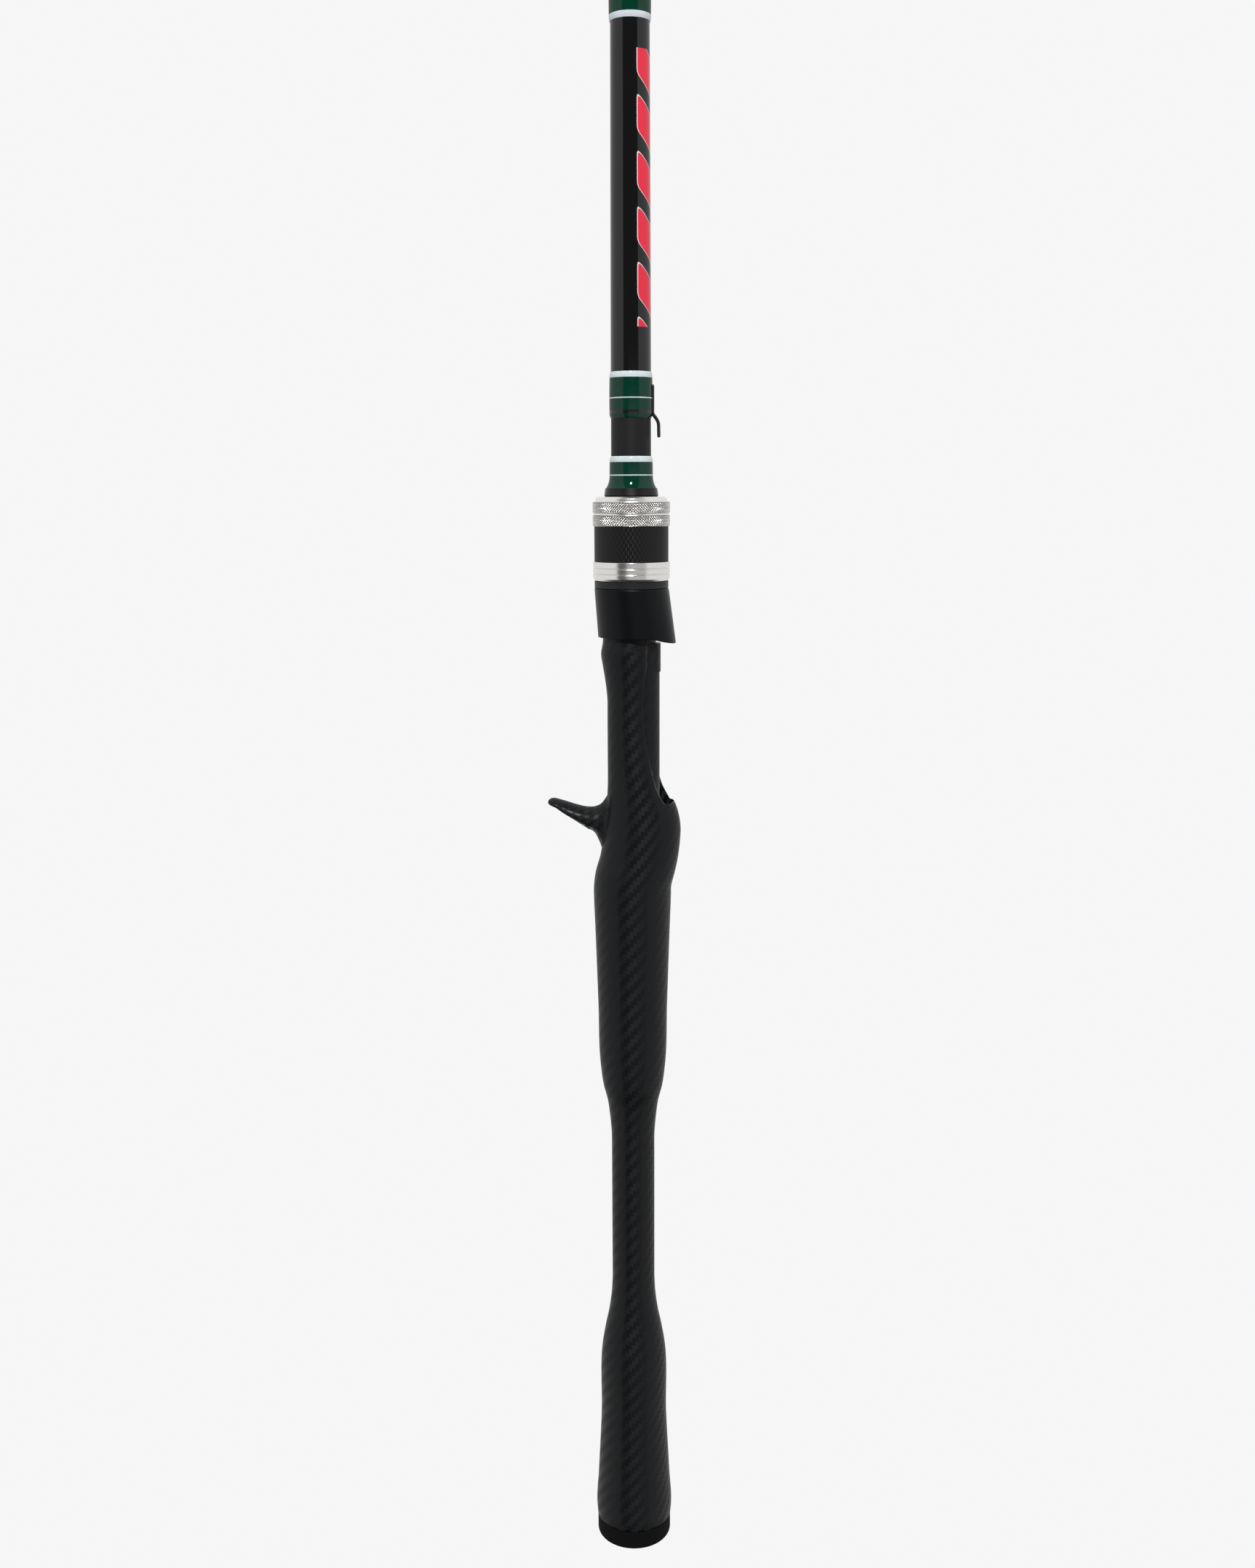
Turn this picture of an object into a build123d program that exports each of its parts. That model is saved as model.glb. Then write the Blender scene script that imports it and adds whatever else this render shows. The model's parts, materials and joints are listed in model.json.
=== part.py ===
from build123d import *
from math import atan, ceil, degrees
import os

os.makedirs("parts", exist_ok=True)

# A one-piece baitcasting rod. Millimetres. +Z runs along the rod to the tip, the origin is the
# centre of the butt cap's flat face, +X is the side of the reel and guides, -X is the trigger.

# ------------------------------------------------------------------ driving dimensions

# whole rod and blank
rod_length = 2134.0            # butt face to the top of the tip-top
blank_butt_dia = 14.5
blank_tip_dia = 1.9
blank_wall_butt = 1.3
blank_wall_tip = 0.45
tip_overhang = 6.0             # tip-top ring above the blank's end
glue_gap = 0.03                # between the blank and what is bonded round it

# handle, from the butt upwards
cap_height = 7.0
cap_round = 1.2
spigot_length = 13.0
spigot_wall = 1.6
butt_length = 97.0
neck_length = 54.0
palm_length = 94.0
butt_r = 13.95                 # widest radius of the butt swell
butt_shoulder_r = 11.37
neck_r = 7.7
palm_shoulder_r = 11.55
palm_r = 13.53
shell_wall = 1.2
blank_in_palm = 16.0           # how far the blank reaches down into the palm swell
rear_arbor_length = 12.0

# reel seat
seat_wall = 1.2
rear_hood_length = 29.6        # palm swell to the lip of the fixed hood
saddle_length = 58.0           # lip of the fixed hood to the top of the shell
saddle_end = 3.1               # the saddle stops this far below the top of the shell
saddle_rise = 1.15             # saddle crown above the seat's round neck
saddle_drop = 1.75             # how much smaller the saddle's radius is than the neck's
pad_rise = 0.35
pad_length = 9.8               # thin pad at the saddle's upper end
pocket_gap = 4.6               # room for the reel foot under the fixed hood
pocket_depth = 21.0
pocket_half_width = 5.6
hood_wall = 2.75
bead_rise = 2.05
bead_length = 22.6
trigger_reach = 29.9
trigger_height = 29.5          # trigger tip above the end of the palm swell

# threaded barrel
arbor_wall = 0.65
barrel_wall = 1.35
shank_length = 12.0
shank_wall = 0.7
plain_length = 1.4             # plain collar between the shell and the thread
thread_pitch = 2.0
thread_depth = 0.7
ridge_base = 1.2               # width of the thread's ridge at its root and its crest
ridge_top = 0.5
ridge_sink = 0.15              # how far a ridge reaches into the wall that it stands on
thread_lead = 0.6              # plain ends of the thread
thread_clearance = 0.15
keyway_width = 3.2
keyway_depth = 0.35
key_clearance = 0.3

# moving hood and nut
hood_overlap = 1.0             # how far the moving hood covers the shell when open
hood_height = 16.7
hood_cavity = 10.9             # depth of the moving hood's pocket above its rim
lip_drop = 2.4
lip_start = 8.5
bead_clearance = 0.35
hood_skin = 0.6
foot_room = 5.2                # pocket of the moving hood, outward from the thread's root
cavity_room_top = 1.8          # the same pocket at its upper end, outward from its round part
foot_wall = 1.1
liner_clearance = 0.08
liner_wall = 0.62
washer_height = 2.2
washer_gap = 0.1
collar_height = 6.4
collar_lip = 1.4
ring_room = 2.6
groove_depth = 0.3
groove_width = 0.45
sleeve_height = 11.8
band_height = 4.3
crown_height = 5.4
crown_collar = 1.6
nut_core_wall = 1.0
nut_wall = 2.45                # from the threaded core to the outside of the knurl
sleeve_step = 0.55
nut_gap = 0.3                  # nut to winding check when the seat is fully open
snap_ring_wall = 0.7
snap_ring_height = 0.8

# fittings above the seat
check_height = 2.5
check_flange = 2.3             # reach of the winding check beyond the blank, at its foot
check_top_flange = 1.95        # and at its top
wrap_flare = 1.75              # where the seat wrap runs up onto the winding check
wrap_flare_length = 4.2
wrap_build = 0.5               # thickness of the thread and epoxy over the blank
band_build = 0.55
seat_wrap_length = 10.5
keeper_space = 12.3
keeper_wrap_length = 15.0
label_length = 108.1
fore_wrap_length = 14.0
white_band = 1.9
pale_line = 0.5
coat_build = 0.12
keeper_wire_dia = 1.1
keeper_reach = 2.15
keeper_drop = 7.0

# guides, from the reel to the tip: ring outside and bore radii
ring_sizes = [(5.0, 3.7), (4.0, 2.9), (3.5, 2.45), (3.0, 2.1)] + 4 * [(2.75, 1.9)]
guide_shares = [0.234, 0.375, 0.497, 0.603, 0.697, 0.781, 0.86, 0.932]
ring_width = 1.5
ring_round = 0.25
holder_wall = 0.65
holder_width = 1.0
guide_clearance = 2.2          # holder above the blank
foot_length = 9.0
foot_width = 2.2
foot_thickness = 0.6
leg_radius = 0.45
foot_wrap_extra = 2.5
tip_tube_length = 12.0
tip_tube_wall = 0.35
tip_wrap_length = 8.0

# ------------------------------------------------------------------ stations and fits

blank_end = rod_length - tip_overhang
z_neck = cap_height + butt_length
z_palm = z_neck + neck_length
z_hood = z_palm + palm_length
z_lip = z_hood + rear_hood_length
z_shell_top = z_lip + saddle_length
blank_start = z_hood - blank_in_palm


def blank_radius(height):
    """Outside radius of the blank's straight taper."""
    share = (height - blank_start) / (blank_end - blank_start)
    return (blank_butt_dia + share * (blank_tip_dia - blank_butt_dia)) / 2


seat_bore_r = blank_radius(z_hood) + glue_gap
seat_r = seat_bore_r + seat_wall
saddle_top = seat_r + saddle_rise
saddle_r = seat_r - saddle_drop
saddle_x = saddle_top - saddle_r
pocket_top = saddle_top + pocket_gap
bead_r = seat_r + bead_rise

arbor_r = blank_radius(z_shell_top) + arbor_wall
root_r = arbor_r + barrel_wall
crest_r = root_r + thread_depth
core_r = crest_r + nut_core_wall
nut_r = core_r + nut_wall
sleeve_r = nut_r - sleeve_step
liner_bore_r = crest_r + liner_clearance
liner_r = liner_bore_r + liner_wall

z_rim = z_shell_top - hood_overlap
z_hood_top = z_rim + hood_height
z_collar = z_hood_top + washer_height + 2 * washer_gap
z_sleeve = z_collar + collar_height
z_band = z_sleeve + sleeve_height
z_crown = z_band + band_height
z_nut_top = z_crown + crown_height
z_barrel_top = z_nut_top + nut_gap
z_thread = z_shell_top + plain_length
z_ring_room = z_collar + collar_lip
z_core = z_ring_room + ring_room

z_seat_wrap = z_barrel_top + check_height
z_keeper_wrap = z_seat_wrap + seat_wrap_length + keeper_space
z_label = z_keeper_wrap + keeper_wrap_length
z_fore_wrap = z_label + label_length
z_free = z_fore_wrap + fore_wrap_length


# Even stations of the palm and fixed hood, from just below the palm's end upwards: how much of
# the palm's extra radius is left, and how much of the hood's bulge is reached.
hood_form_start = -12.0
hood_form_step = 5.5
hood_form = [
    (0.95, 0.0),
    (0.99, 0.0),
    (1.0, 0.01),
    (0.86, 0.3),
    (0.55, 0.68),
    (0.37, 0.9),
    (0.27, 1.0),
    (0.14, 0.955),
    (0.04, 0.73),
    (0.0, 0.46),
    (0.0, 0.27),
    (0.0, 0.14),
    (0.0, 0.06),
    (0.0, 0.02),
    (0.0, 0.0),
]
z_palm_end = z_hood + hood_form_start
palm_end_r = seat_r + hood_form[0][0] * (palm_r - seat_r)


# ------------------------------------------------------------------ shared shapes


def half_section(*outline):
    """Closed half section through the rod's axis from (radius, height) points."""
    with BuildSketch(Plane.XZ) as section:
        with BuildLine():
            Polyline(*outline, close=True)
        make_face()
    return section.sketch


def tube_section(inner, outer, low, high):
    """Half section of a plain tube."""
    return half_section((inner, low), (outer, low), (outer, high), (inner, high))


def wrap_section(low, high, build):
    """Half section of a thread wrap that follows the blank's taper."""
    low_r = blank_radius(low)
    high_r = blank_radius(high)
    return half_section((low_r, low), (low_r + build, low), (high_r + build, high), (high_r, high))


def oval(plane, centre, half_x, half_y):
    """Oval face whose two halves meet on the plane's X axis, so that a loft doesn't twist."""
    with BuildSketch(plane) as face:
        with BuildLine():
            EllipticalCenterArc(centre, half_x, half_y, 0, arc_size=180)
            EllipticalCenterArc(centre, half_x, half_y, 180, arc_size=180)
        make_face()
    return face.sketch


def thread_ridge(height, from_r, to_r, base_width, top_width):
    """Helical ridge from height 0, standing on radius from_r and ending at radius to_r."""
    with BuildPart() as ridge:
        with BuildLine() as path:
            Helix(thread_pitch, height, from_r)
        with BuildSketch(Plane(origin=path.line @ 0, x_dir=(1, 0, 0), z_dir=path.line % 0)):
            with BuildLine():
                Polyline(
                    (0, -base_width / 2),
                    (to_r - from_r, -top_width / 2),
                    (to_r - from_r, top_width / 2),
                    (0, base_width / 2),
                    close=True,
                )
            make_face()
        sweep(path=path.line, is_frenet=True)
    return ridge.part


def handle_outline(inset):
    """Half outline of the grip from the cap to the palm, moved inwards by inset."""
    with BuildSketch(Plane.XZ) as section:
        with BuildLine():
            foot = (butt_r - 0.3 - inset, cap_height)
            shoulder = (butt_shoulder_r - inset, z_neck - 26.0)
            neck = (neck_r - inset, z_neck)
            palm_start = (neck_r - inset, z_palm)
            palm_shoulder = (palm_shoulder_r - inset, z_palm + 27.5)
            palm_end = (palm_end_r - inset, z_palm_end)
            Spline(
                foot,
                (butt_r - inset, cap_height + 3.5),
                (butt_r - 0.65 - inset, cap_height + 17.0),
                (butt_r - 1.75 - inset, cap_height + 41.0),
                shoulder,
                tangents=[(0.3, 1), (-0.04, 1)],
            )
            Spline(
                shoulder,
                ((butt_shoulder_r + 1.6 * neck_r) / 2.6 + 1.4 - inset, z_neck - 19.8),
                ((butt_shoulder_r + 1.6 * neck_r) / 2.6 + 0.0 - inset, z_neck - 14.3),
                (neck_r + 0.62 - inset, z_neck - 8.4),
                neck,
                tangents=[(-0.04, 1), (0, 1)],
            )
            Line(neck, palm_start)
            Spline(
                palm_start,
                (neck_r + 0.7 - inset, z_palm + 8.0),
                ((palm_shoulder_r + neck_r) / 2 - 0.35 - inset, z_palm + 14.0),
                (palm_shoulder_r - 1.0 - inset, z_palm + 19.8),
                palm_shoulder,
                tangents=[(0, 1), (0.02, 1)],
            )
            Spline(
                palm_shoulder,
                ((palm_shoulder_r + palm_r) / 2 - 0.3 - inset, z_hood - 44.0),
                palm_end,
                tangents=[(0.02, 1), (0.03, 1)],
            )
            Polyline(palm_end, (0, z_palm_end), (0, cap_height), foot)
        make_face()
    return section.sketch


def save(piece, name):
    """Name a finished piece and write its file."""
    piece.part.label = name
    export_step(piece.part, f"parts/{name}.step")


# ------------------------------------------------------------------ blank

with BuildPart() as blank_form:
    revolve(
        half_section(
            (0, blank_start),
            (blank_radius(blank_start), blank_start),
            (blank_radius(blank_end), blank_end),
            (0, blank_end),
        ),
        axis=Axis.Z,
    )

with BuildPart() as blank:
    revolve(
        half_section(
            (blank_butt_dia / 2 - blank_wall_butt, blank_start),
            (blank_butt_dia / 2, blank_start),
            (blank_tip_dia / 2, blank_end),
            (blank_tip_dia / 2 - blank_wall_tip, blank_end),
        ),
        axis=Axis.Z,
    )
save(blank, "blank")

# ------------------------------------------------------------------ handle shell

bulge_side_share = 0.2         # how much of the bulge also widens the sides
hood_bulge = pocket_top + hood_wall - seat_r - 0.27 * (palm_r - seat_r)

# Even stations of the trigger from its root to its tip: height of the centre below the tip, half
# height and half width.
trigger_form = [
    (8.2, 9.6, 6.2),
    (7.7, 8.3, 5.9),
    (6.8, 5.5, 5.3),
    (5.8, 4.3, 4.95),
    (4.75, 3.6, 4.7),
    (3.6, 3.1, 4.5),
    (2.5, 2.65, 4.25),
    (1.35, 2.05, 3.6),
    (0.15, 0.6, 1.4),
]
trigger_root = seat_r - 3.0

# The saddle's rim, seen from the side: outward of the neck's radius and above the hood's lip.
rim_form = [(3.9, 0.0), (1.35, 4.6), (-0.5, 11.2), (-1.95, 18.6), (-2.95, 25.6), (-3.3, 35.7)]
rim_top = (-1.95, 49.0)

with BuildPart() as handle_shell:
    revolve(handle_outline(0), axis=Axis.Z)
    hood_sections = []
    for station, (palm_share, bulge_share) in enumerate(hood_form):
        rise = hood_form_start + station * hood_form_step
        section_r = seat_r + palm_share * (palm_r - seat_r)
        bulge = bulge_share * hood_bulge
        half_width = section_r + bulge_side_share * bulge
        plane = Plane.XY.offset(z_hood + rise)
        hood_sections.append(oval(plane, (bulge / 2, 0), section_r + bulge / 2, half_width))
    loft(hood_sections)
    z_bead = z_shell_top - bead_length
    with BuildSketch(Plane.XZ):
        with BuildLine():
            Spline(
                (seat_r, z_bead),
                (seat_r + 0.8, z_shell_top - 15.1),
                (seat_r + 1.45, z_shell_top - 11.1),
                (bead_r, z_shell_top - 6.6),
                (bead_r - 0.55, z_shell_top - 3.1),
                (bead_r - 0.8, z_shell_top),
                tangents=[(0, 1), (0, 1)],
            )
            Polyline((bead_r - 0.8, z_shell_top), (0, z_shell_top), (0, z_bead), (seat_r, z_bead))
        make_face()
    revolve(axis=Axis.Z)
    # trigger
    trigger_sections = []
    for station, (drop, half_height, half_width) in enumerate(trigger_form):
        share = station / (len(trigger_form) - 1)
        plane = Plane.YZ.offset(-trigger_root - share * (trigger_reach - trigger_root))
        centre = (0, z_hood + trigger_height - drop)
        trigger_sections.append(oval(plane, centre, half_width, half_height))
    loft(trigger_sections)
    # scooped saddle between the two hoods
    with BuildSketch(Plane.XZ):
        with BuildLine():
            rim = Spline(
                *[(seat_r + out, z_lip + rise) for out, rise in rim_form],
                (seat_r + rim_top[0], z_lip + rim_top[1]),
            )
            Polyline(
                rim @ 1,
                (seat_r + rim_top[0], z_shell_top + 1),
                (2 * palm_r, z_shell_top + 1),
                (2 * palm_r, z_lip),
                rim @ 0,
            )
        make_face()
    extrude(amount=palm_r, both=True, mode=Mode.SUBTRACT)
    # pocket of the fixed hood
    with BuildSketch(Plane.XY.offset(z_lip - pocket_depth)):
        with Locations((saddle_x, 0)):
            Circle(pocket_top - saddle_x)
        with Locations((saddle_x + palm_r / 2, 0)):
            Rectangle(palm_r, 2 * pocket_half_width, mode=Mode.INTERSECT)
    extrude(amount=pocket_depth + 10.0, mode=Mode.SUBTRACT)
    # saddle and the small pad at its upper end
    with BuildSketch(Plane.XY.offset(z_lip - pocket_depth - 1.0)):
        with Locations((saddle_x, 0)):
            Circle(saddle_r)
    extrude(amount=saddle_length - saddle_end + pocket_depth + 1.0)
    with BuildSketch(Plane.XY.offset(z_shell_top - saddle_end - pad_length)):
        with Locations((saddle_x, 0)):
            Circle(saddle_r + pad_rise)
    extrude(amount=pad_length)
    # inside: hollow grip, cone up to the blank, bore for the blank, socket for the barrel
    revolve(handle_outline(shell_wall), axis=Axis.Z, mode=Mode.SUBTRACT)
    revolve(
        half_section(
            (0, z_palm_end),
            (palm_end_r - shell_wall, z_palm_end),
            (palm_r - 0.05 - shell_wall, z_hood - 2.0),
            (seat_bore_r, z_hood + 5.0),
            (seat_bore_r, z_shell_top + 1),
            (0, z_shell_top + 1),
        ),
        axis=Axis.Z,
        mode=Mode.SUBTRACT,
    )
    with BuildSketch(Plane.XY.offset(z_shell_top - shank_length)):
        Circle(arbor_r + shank_wall)
    extrude(amount=shank_length + 1, mode=Mode.SUBTRACT)
save(handle_shell, "handle_shell")

# ------------------------------------------------------------------ butt cap and rear arbor

spigot_r = butt_r - 0.35 - shell_wall - 0.2
with BuildPart() as butt_cap:
    with BuildSketch(Plane.XY):
        Circle(butt_r - 0.35)
    extrude(amount=cap_height)
    fillet(butt_cap.edges().group_by(Axis.Z)[0], radius=cap_round)
    revolve(
        tube_section(spigot_r - spigot_wall, spigot_r, cap_height, cap_height + spigot_length),
        axis=Axis.Z,
    )
save(butt_cap, "butt_cap")

with BuildPart() as arbor_rear:
    low = blank_start + 2.0
    high = low + rear_arbor_length - 2.0
    revolve(
        half_section(
            (blank_radius(low), low),
            (palm_r - 0.3 - shell_wall - 0.05, low),
            (palm_r - 0.3 - shell_wall - 0.05, high),
            (blank_radius(high), high),
        ),
        axis=Axis.Z,
    )
save(arbor_rear, "arbor_rear")

# ------------------------------------------------------------------ threaded barrel and arbor

# Each turn of the thread stops at the keyway, on the trigger's side.
keyway_angle = degrees(atan(keyway_width / 2 / root_r)) + 1.0
thread_start = z_thread + thread_lead
thread_turns = int((z_barrel_top - thread_start - ridge_base) / thread_pitch)
barrel_turn = thread_ridge(
    thread_pitch * (1 - 2 * keyway_angle / 360),
    root_r - ridge_sink,
    crest_r,
    ridge_base,
    ridge_top,
)
with BuildPart() as seat_barrel:
    with BuildSketch(Plane.XY.offset(z_shell_top)):
        Circle(root_r)
        Circle(arbor_r, mode=Mode.SUBTRACT)
        with Locations((-root_r + keyway_depth - crest_r, 0)):
            Rectangle(2 * crest_r, keyway_width, mode=Mode.SUBTRACT)
    extrude(amount=z_barrel_top - z_shell_top)
    for turn in range(thread_turns):
        height = thread_start + turn * thread_pitch
        add(barrel_turn.moved(Location((0, 0, height), (0, 0, 180 + keyway_angle))))
    with BuildSketch(Plane.XY.offset(z_shell_top - shank_length)):
        Circle(arbor_r + shank_wall)
        Circle(arbor_r, mode=Mode.SUBTRACT)
    extrude(amount=shank_length)
save(seat_barrel, "seat_barrel")

with BuildPart() as arbor_front:
    low = z_shell_top - shank_length + 1.0
    high = z_barrel_top - 1.0
    revolve(
        half_section(
            (blank_radius(low), low), (arbor_r, low), (arbor_r, high), (blank_radius(high), high)
        ),
        axis=Axis.Z,
    )
save(arbor_front, "arbor_front")

# ------------------------------------------------------------------ moving hood

hood_top_r = nut_r - 0.2
hood_left = bead_r + bead_clearance + hood_skin
hood_foot = root_r + foot_room + foot_wall
cavity_r = bead_r + bead_clearance
lip_z = z_rim - lip_drop
with BuildPart() as moving_hood:
    half_x = (hood_foot + hood_left) / 2
    loft(
        [
            oval(Plane.XY.offset(lip_z), (hood_foot - half_x, 0), half_x, hood_left + 0.3),
            oval(Plane.XY.offset(z_hood_top), (0, 0), hood_top_r, hood_top_r),
        ]
    )
    foot_top_r = cavity_r + cavity_room_top
    low_half = (hood_foot - foot_wall + cavity_r) / 2
    high_half = (foot_top_r + cavity_r) / 2
    low_plane = Plane.XY.offset(lip_z)
    high_plane = Plane.XY.offset(z_rim + hood_cavity)
    loft(
        [
            oval(low_plane, (low_half - cavity_r, 0), low_half, cavity_r + 0.05),
            oval(high_plane, (high_half - cavity_r, 0), high_half, cavity_r + 0.05),
        ],
        mode=Mode.SUBTRACT,
    )
    # square rim that dips to a pointed lip over the reel foot
    with BuildSketch(Plane.XZ):
        with BuildLine():
            Polyline(
                (-2 * hood_foot, z_rim),
                (lip_start, z_rim),
                (hood_foot - foot_wall, lip_z + 0.4),
                (2 * hood_foot, lip_z - 0.4),
                (2 * hood_foot, lip_z - 10),
                (-2 * hood_foot, lip_z - 10),
                close=True,
            )
        make_face()
    extrude(amount=2 * hood_foot, both=True, mode=Mode.SUBTRACT)
    with BuildSketch(Plane.XY.offset(z_rim + hood_cavity - 1)):
        Circle(liner_r)
    extrude(amount=hood_height, mode=Mode.SUBTRACT)
save(moving_hood, "moving_hood")

z_liner_top = z_core - 0.6
with BuildPart() as hood_liner:
    revolve(
        tube_section(liner_bore_r, liner_r, z_rim + hood_cavity, z_liner_top), axis=Axis.Z
    )
    ring_low = z_ring_room + 0.2
    revolve(
        tube_section(liner_r - 0.3, liner_r + 1, ring_low, ring_low + snap_ring_height),
        axis=Axis.Z,
        mode=Mode.SUBTRACT,
    )
    # key that runs in the barrel's keyway and stops the hood turning
    key_inner = root_r - keyway_depth + key_clearance
    with BuildSketch(Plane.XY.offset(z_rim + hood_cavity)):
        with Locations((-(key_inner + liner_r - 0.35) / 2, 0)):
            Rectangle(liner_r - 0.35 - key_inner, keyway_width - 2 * key_clearance)
    extrude(amount=z_hood_top - z_rim - hood_cavity)
save(hood_liner, "hood_liner")

with BuildPart() as slip_washer:
    low = z_hood_top + washer_gap
    revolve(tube_section(liner_r, sleeve_r, low, low + washer_height), axis=Axis.Z)
save(slip_washer, "slip_washer")

with BuildPart() as snap_ring:
    revolve(
        tube_section(
            liner_r - 0.3,
            liner_r - 0.3 + snap_ring_wall + 0.3,
            ring_low,
            ring_low + snap_ring_height,
        ),
        axis=Axis.Z,
    )
    with BuildSketch(Plane.XY.offset(ring_low - 1)):
        with Locations((crest_r, 0)):
            Rectangle(crest_r, 2.4)
    extrude(amount=snap_ring_height + 2, mode=Mode.SUBTRACT)
save(snap_ring, "snap_ring")

# ------------------------------------------------------------------ nut

# The nut's ridge runs half a pitch above the barrel's.
z_core_top = z_nut_top - 1.2
first_turn = ceil((z_core + 1.0 - thread_start) / thread_pitch - 0.5) + 0.5
z_nut_thread = thread_start + first_turn * thread_pitch
nut_turns = int((z_core_top - 1.0 - z_nut_thread) / thread_pitch)
nut_ridge = thread_ridge(
    nut_turns * thread_pitch,
    crest_r + thread_clearance + ridge_sink,
    root_r + thread_clearance,
    thread_pitch - ridge_top - 2 * thread_clearance,
    thread_pitch - ridge_base - 2 * thread_clearance,
)
with BuildPart() as nut_core:
    with BuildSketch(Plane.XY.offset(z_core)):
        Circle(core_r)
        Circle(crest_r + thread_clearance, mode=Mode.SUBTRACT)
    extrude(amount=z_core_top - z_core)
    add(nut_ridge.moved(Location((0, 0, z_nut_thread), (0, 0, 180 + keyway_angle))))
save(nut_core, "nut_core")

with BuildPart() as nut_collar:
    revolve(
        half_section(
            (liner_r + 0.25, z_collar),
            (nut_r - 0.55, z_collar),
            (nut_r - 0.05, z_collar + 0.9),
            (nut_r - 0.05, z_sleeve - 0.25),
            (nut_r - 0.3, z_sleeve),
            (core_r, z_sleeve),
            (core_r, z_core),
            (liner_r + snap_ring_wall + 0.3, z_core),
            (liner_r + snap_ring_wall + 0.3, z_ring_room),
            (liner_r + 0.25, z_ring_room),
        ),
        axis=Axis.Z,
    )
    for groove_rise in (2.2, 4.1):
        revolve(
            tube_section(
                nut_r - 0.05 - groove_depth,
                nut_r + 1,
                z_collar + groove_rise,
                z_collar + groove_rise + groove_width,
            ),
            axis=Axis.Z,
            mode=Mode.SUBTRACT,
        )
save(nut_collar, "nut_collar")

with BuildPart() as nut_sleeve:
    revolve(tube_section(core_r, sleeve_r, z_sleeve, z_band), axis=Axis.Z)
save(nut_sleeve, "nut_sleeve")

with BuildPart() as knurled_nut:
    revolve(
        half_section(
            (core_r, z_band),
            (nut_r - 0.25, z_band),
            (nut_r, z_band + 0.25),
            (nut_r, z_crown - 0.9),
            (nut_r - 0.25, z_crown - 0.65),
            (nut_r - 0.5, z_crown - 0.65),
            (nut_r - 0.5, z_crown),
            (core_r, z_crown),
        ),
        axis=Axis.Z,
    )
save(knurled_nut, "knurled_nut")

with BuildPart() as nut_crown:
    revolve(
        half_section(
            (core_r, z_crown),
            (nut_r - 0.25, z_crown),
            (nut_r, z_crown + 0.25),
            (nut_r, z_nut_top - crown_collar - 0.25),
            (nut_r - 0.75, z_nut_top - crown_collar),
            (core_r + 0.1, z_nut_top),
            (crest_r + 0.2, z_nut_top),
            (crest_r + 0.2, z_core_top),
            (core_r, z_core_top),
        ),
        axis=Axis.Z,
    )
save(nut_crown, "nut_crown")

with BuildPart() as winding_check:
    bore = blank_radius(z_barrel_top) + glue_gap
    foot_r = bore + check_flange
    revolve(
        half_section(
            (bore, z_barrel_top),
            (foot_r - 0.15, z_barrel_top),
            (foot_r, z_barrel_top + 0.15),
            (bore + check_top_flange, z_seat_wrap),
            (bore, z_seat_wrap),
        ),
        axis=Axis.Z,
    )
save(winding_check, "winding_check")

# ------------------------------------------------------------------ wraps on the handle end

z_keeper_mid = z_keeper_wrap + keeper_wrap_length / 2
wire_r = keeper_wire_dia / 2
wire_x = blank_radius(z_keeper_wrap) + wire_r + glue_gap
with BuildPart() as keeper_wire:
    with BuildLine() as wire_path:
        FilletPolyline(
            (wire_x, 0, z_keeper_wrap + keeper_wrap_length - 4.0),
            (wire_x, 0, z_keeper_wrap + 1.0),
            (wire_x + keeper_reach, 0, z_keeper_wrap - 1.6),
            (wire_x + keeper_reach, 0, z_keeper_wrap - keeper_drop + wire_r),
            radius=1.4,
        )
    with BuildSketch(Plane(origin=wire_path.line @ 0, z_dir=wire_path.line % 0)):
        Circle(wire_r)
    sweep(path=wire_path.line)
    with Locations(wire_path.line @ 1):
        Sphere(wire_r)
save(keeper_wire, "keeper_wire")

# Each green wrap is one run of thread with a pale line laid into it and a white band at one end.
wraps = [
    ("seat_wrap", z_seat_wrap, seat_wrap_length, 1),
    ("keeper_wrap", z_keeper_wrap, keeper_wrap_length, 1),
    ("fore_wrap", z_fore_wrap, fore_wrap_length, -1),
]
for name, low, length, band_side in wraps:
    high = low + length
    if band_side > 0:
        green = (low, high - white_band)
        band = (high - white_band, high)
    else:
        green = (low + white_band, high)
        band = (low, low + white_band)
    line_low = (green[0] + green[1]) / 2 - pale_line / 2
    line = (line_low, line_low + pale_line)
    with BuildPart() as green_wrap:
        revolve(wrap_section(*green, wrap_build), axis=Axis.Z)
        if name == "seat_wrap":
            flare_r = blank_radius(low)
            revolve(
                half_section(
                    (flare_r, low),
                    (flare_r + wrap_flare, low),
                    (flare_r + (wrap_flare + 2 * wrap_build) / 3, low + 0.35 * wrap_flare_length),
                    (flare_r + wrap_build - 0.1, low + wrap_flare_length),
                    (blank_radius(low + wrap_flare_length), low + wrap_flare_length),
                ),
                axis=Axis.Z,
            )
        if name == "keeper_wrap":
            with BuildSketch(Plane.XY.offset(green[0])):
                with Locations((wire_x, 0)):
                    Circle(wire_r + 0.35)
            extrude(amount=green[1] - green[0])
            add(blank_form.part, mode=Mode.SUBTRACT)
            add(keeper_wire.part, mode=Mode.SUBTRACT)
        line_r = blank_radius(line[0]) + wrap_build / 2
        revolve(
            tube_section(line_r, 2 * line_r, *line),
            axis=Axis.Z,
            mode=Mode.SUBTRACT,
        )
    save(green_wrap, f"{name}_green")
    with BuildPart() as trim:
        revolve(wrap_section(*band, band_build), axis=Axis.Z)
        revolve(
            tube_section(line_r, blank_radius(line[0]) + wrap_build, *line), axis=Axis.Z
        )
        if name == "keeper_wrap":
            add(keeper_wire.part, mode=Mode.SUBTRACT)
    save(trim, f"{name}_trim")

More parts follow.
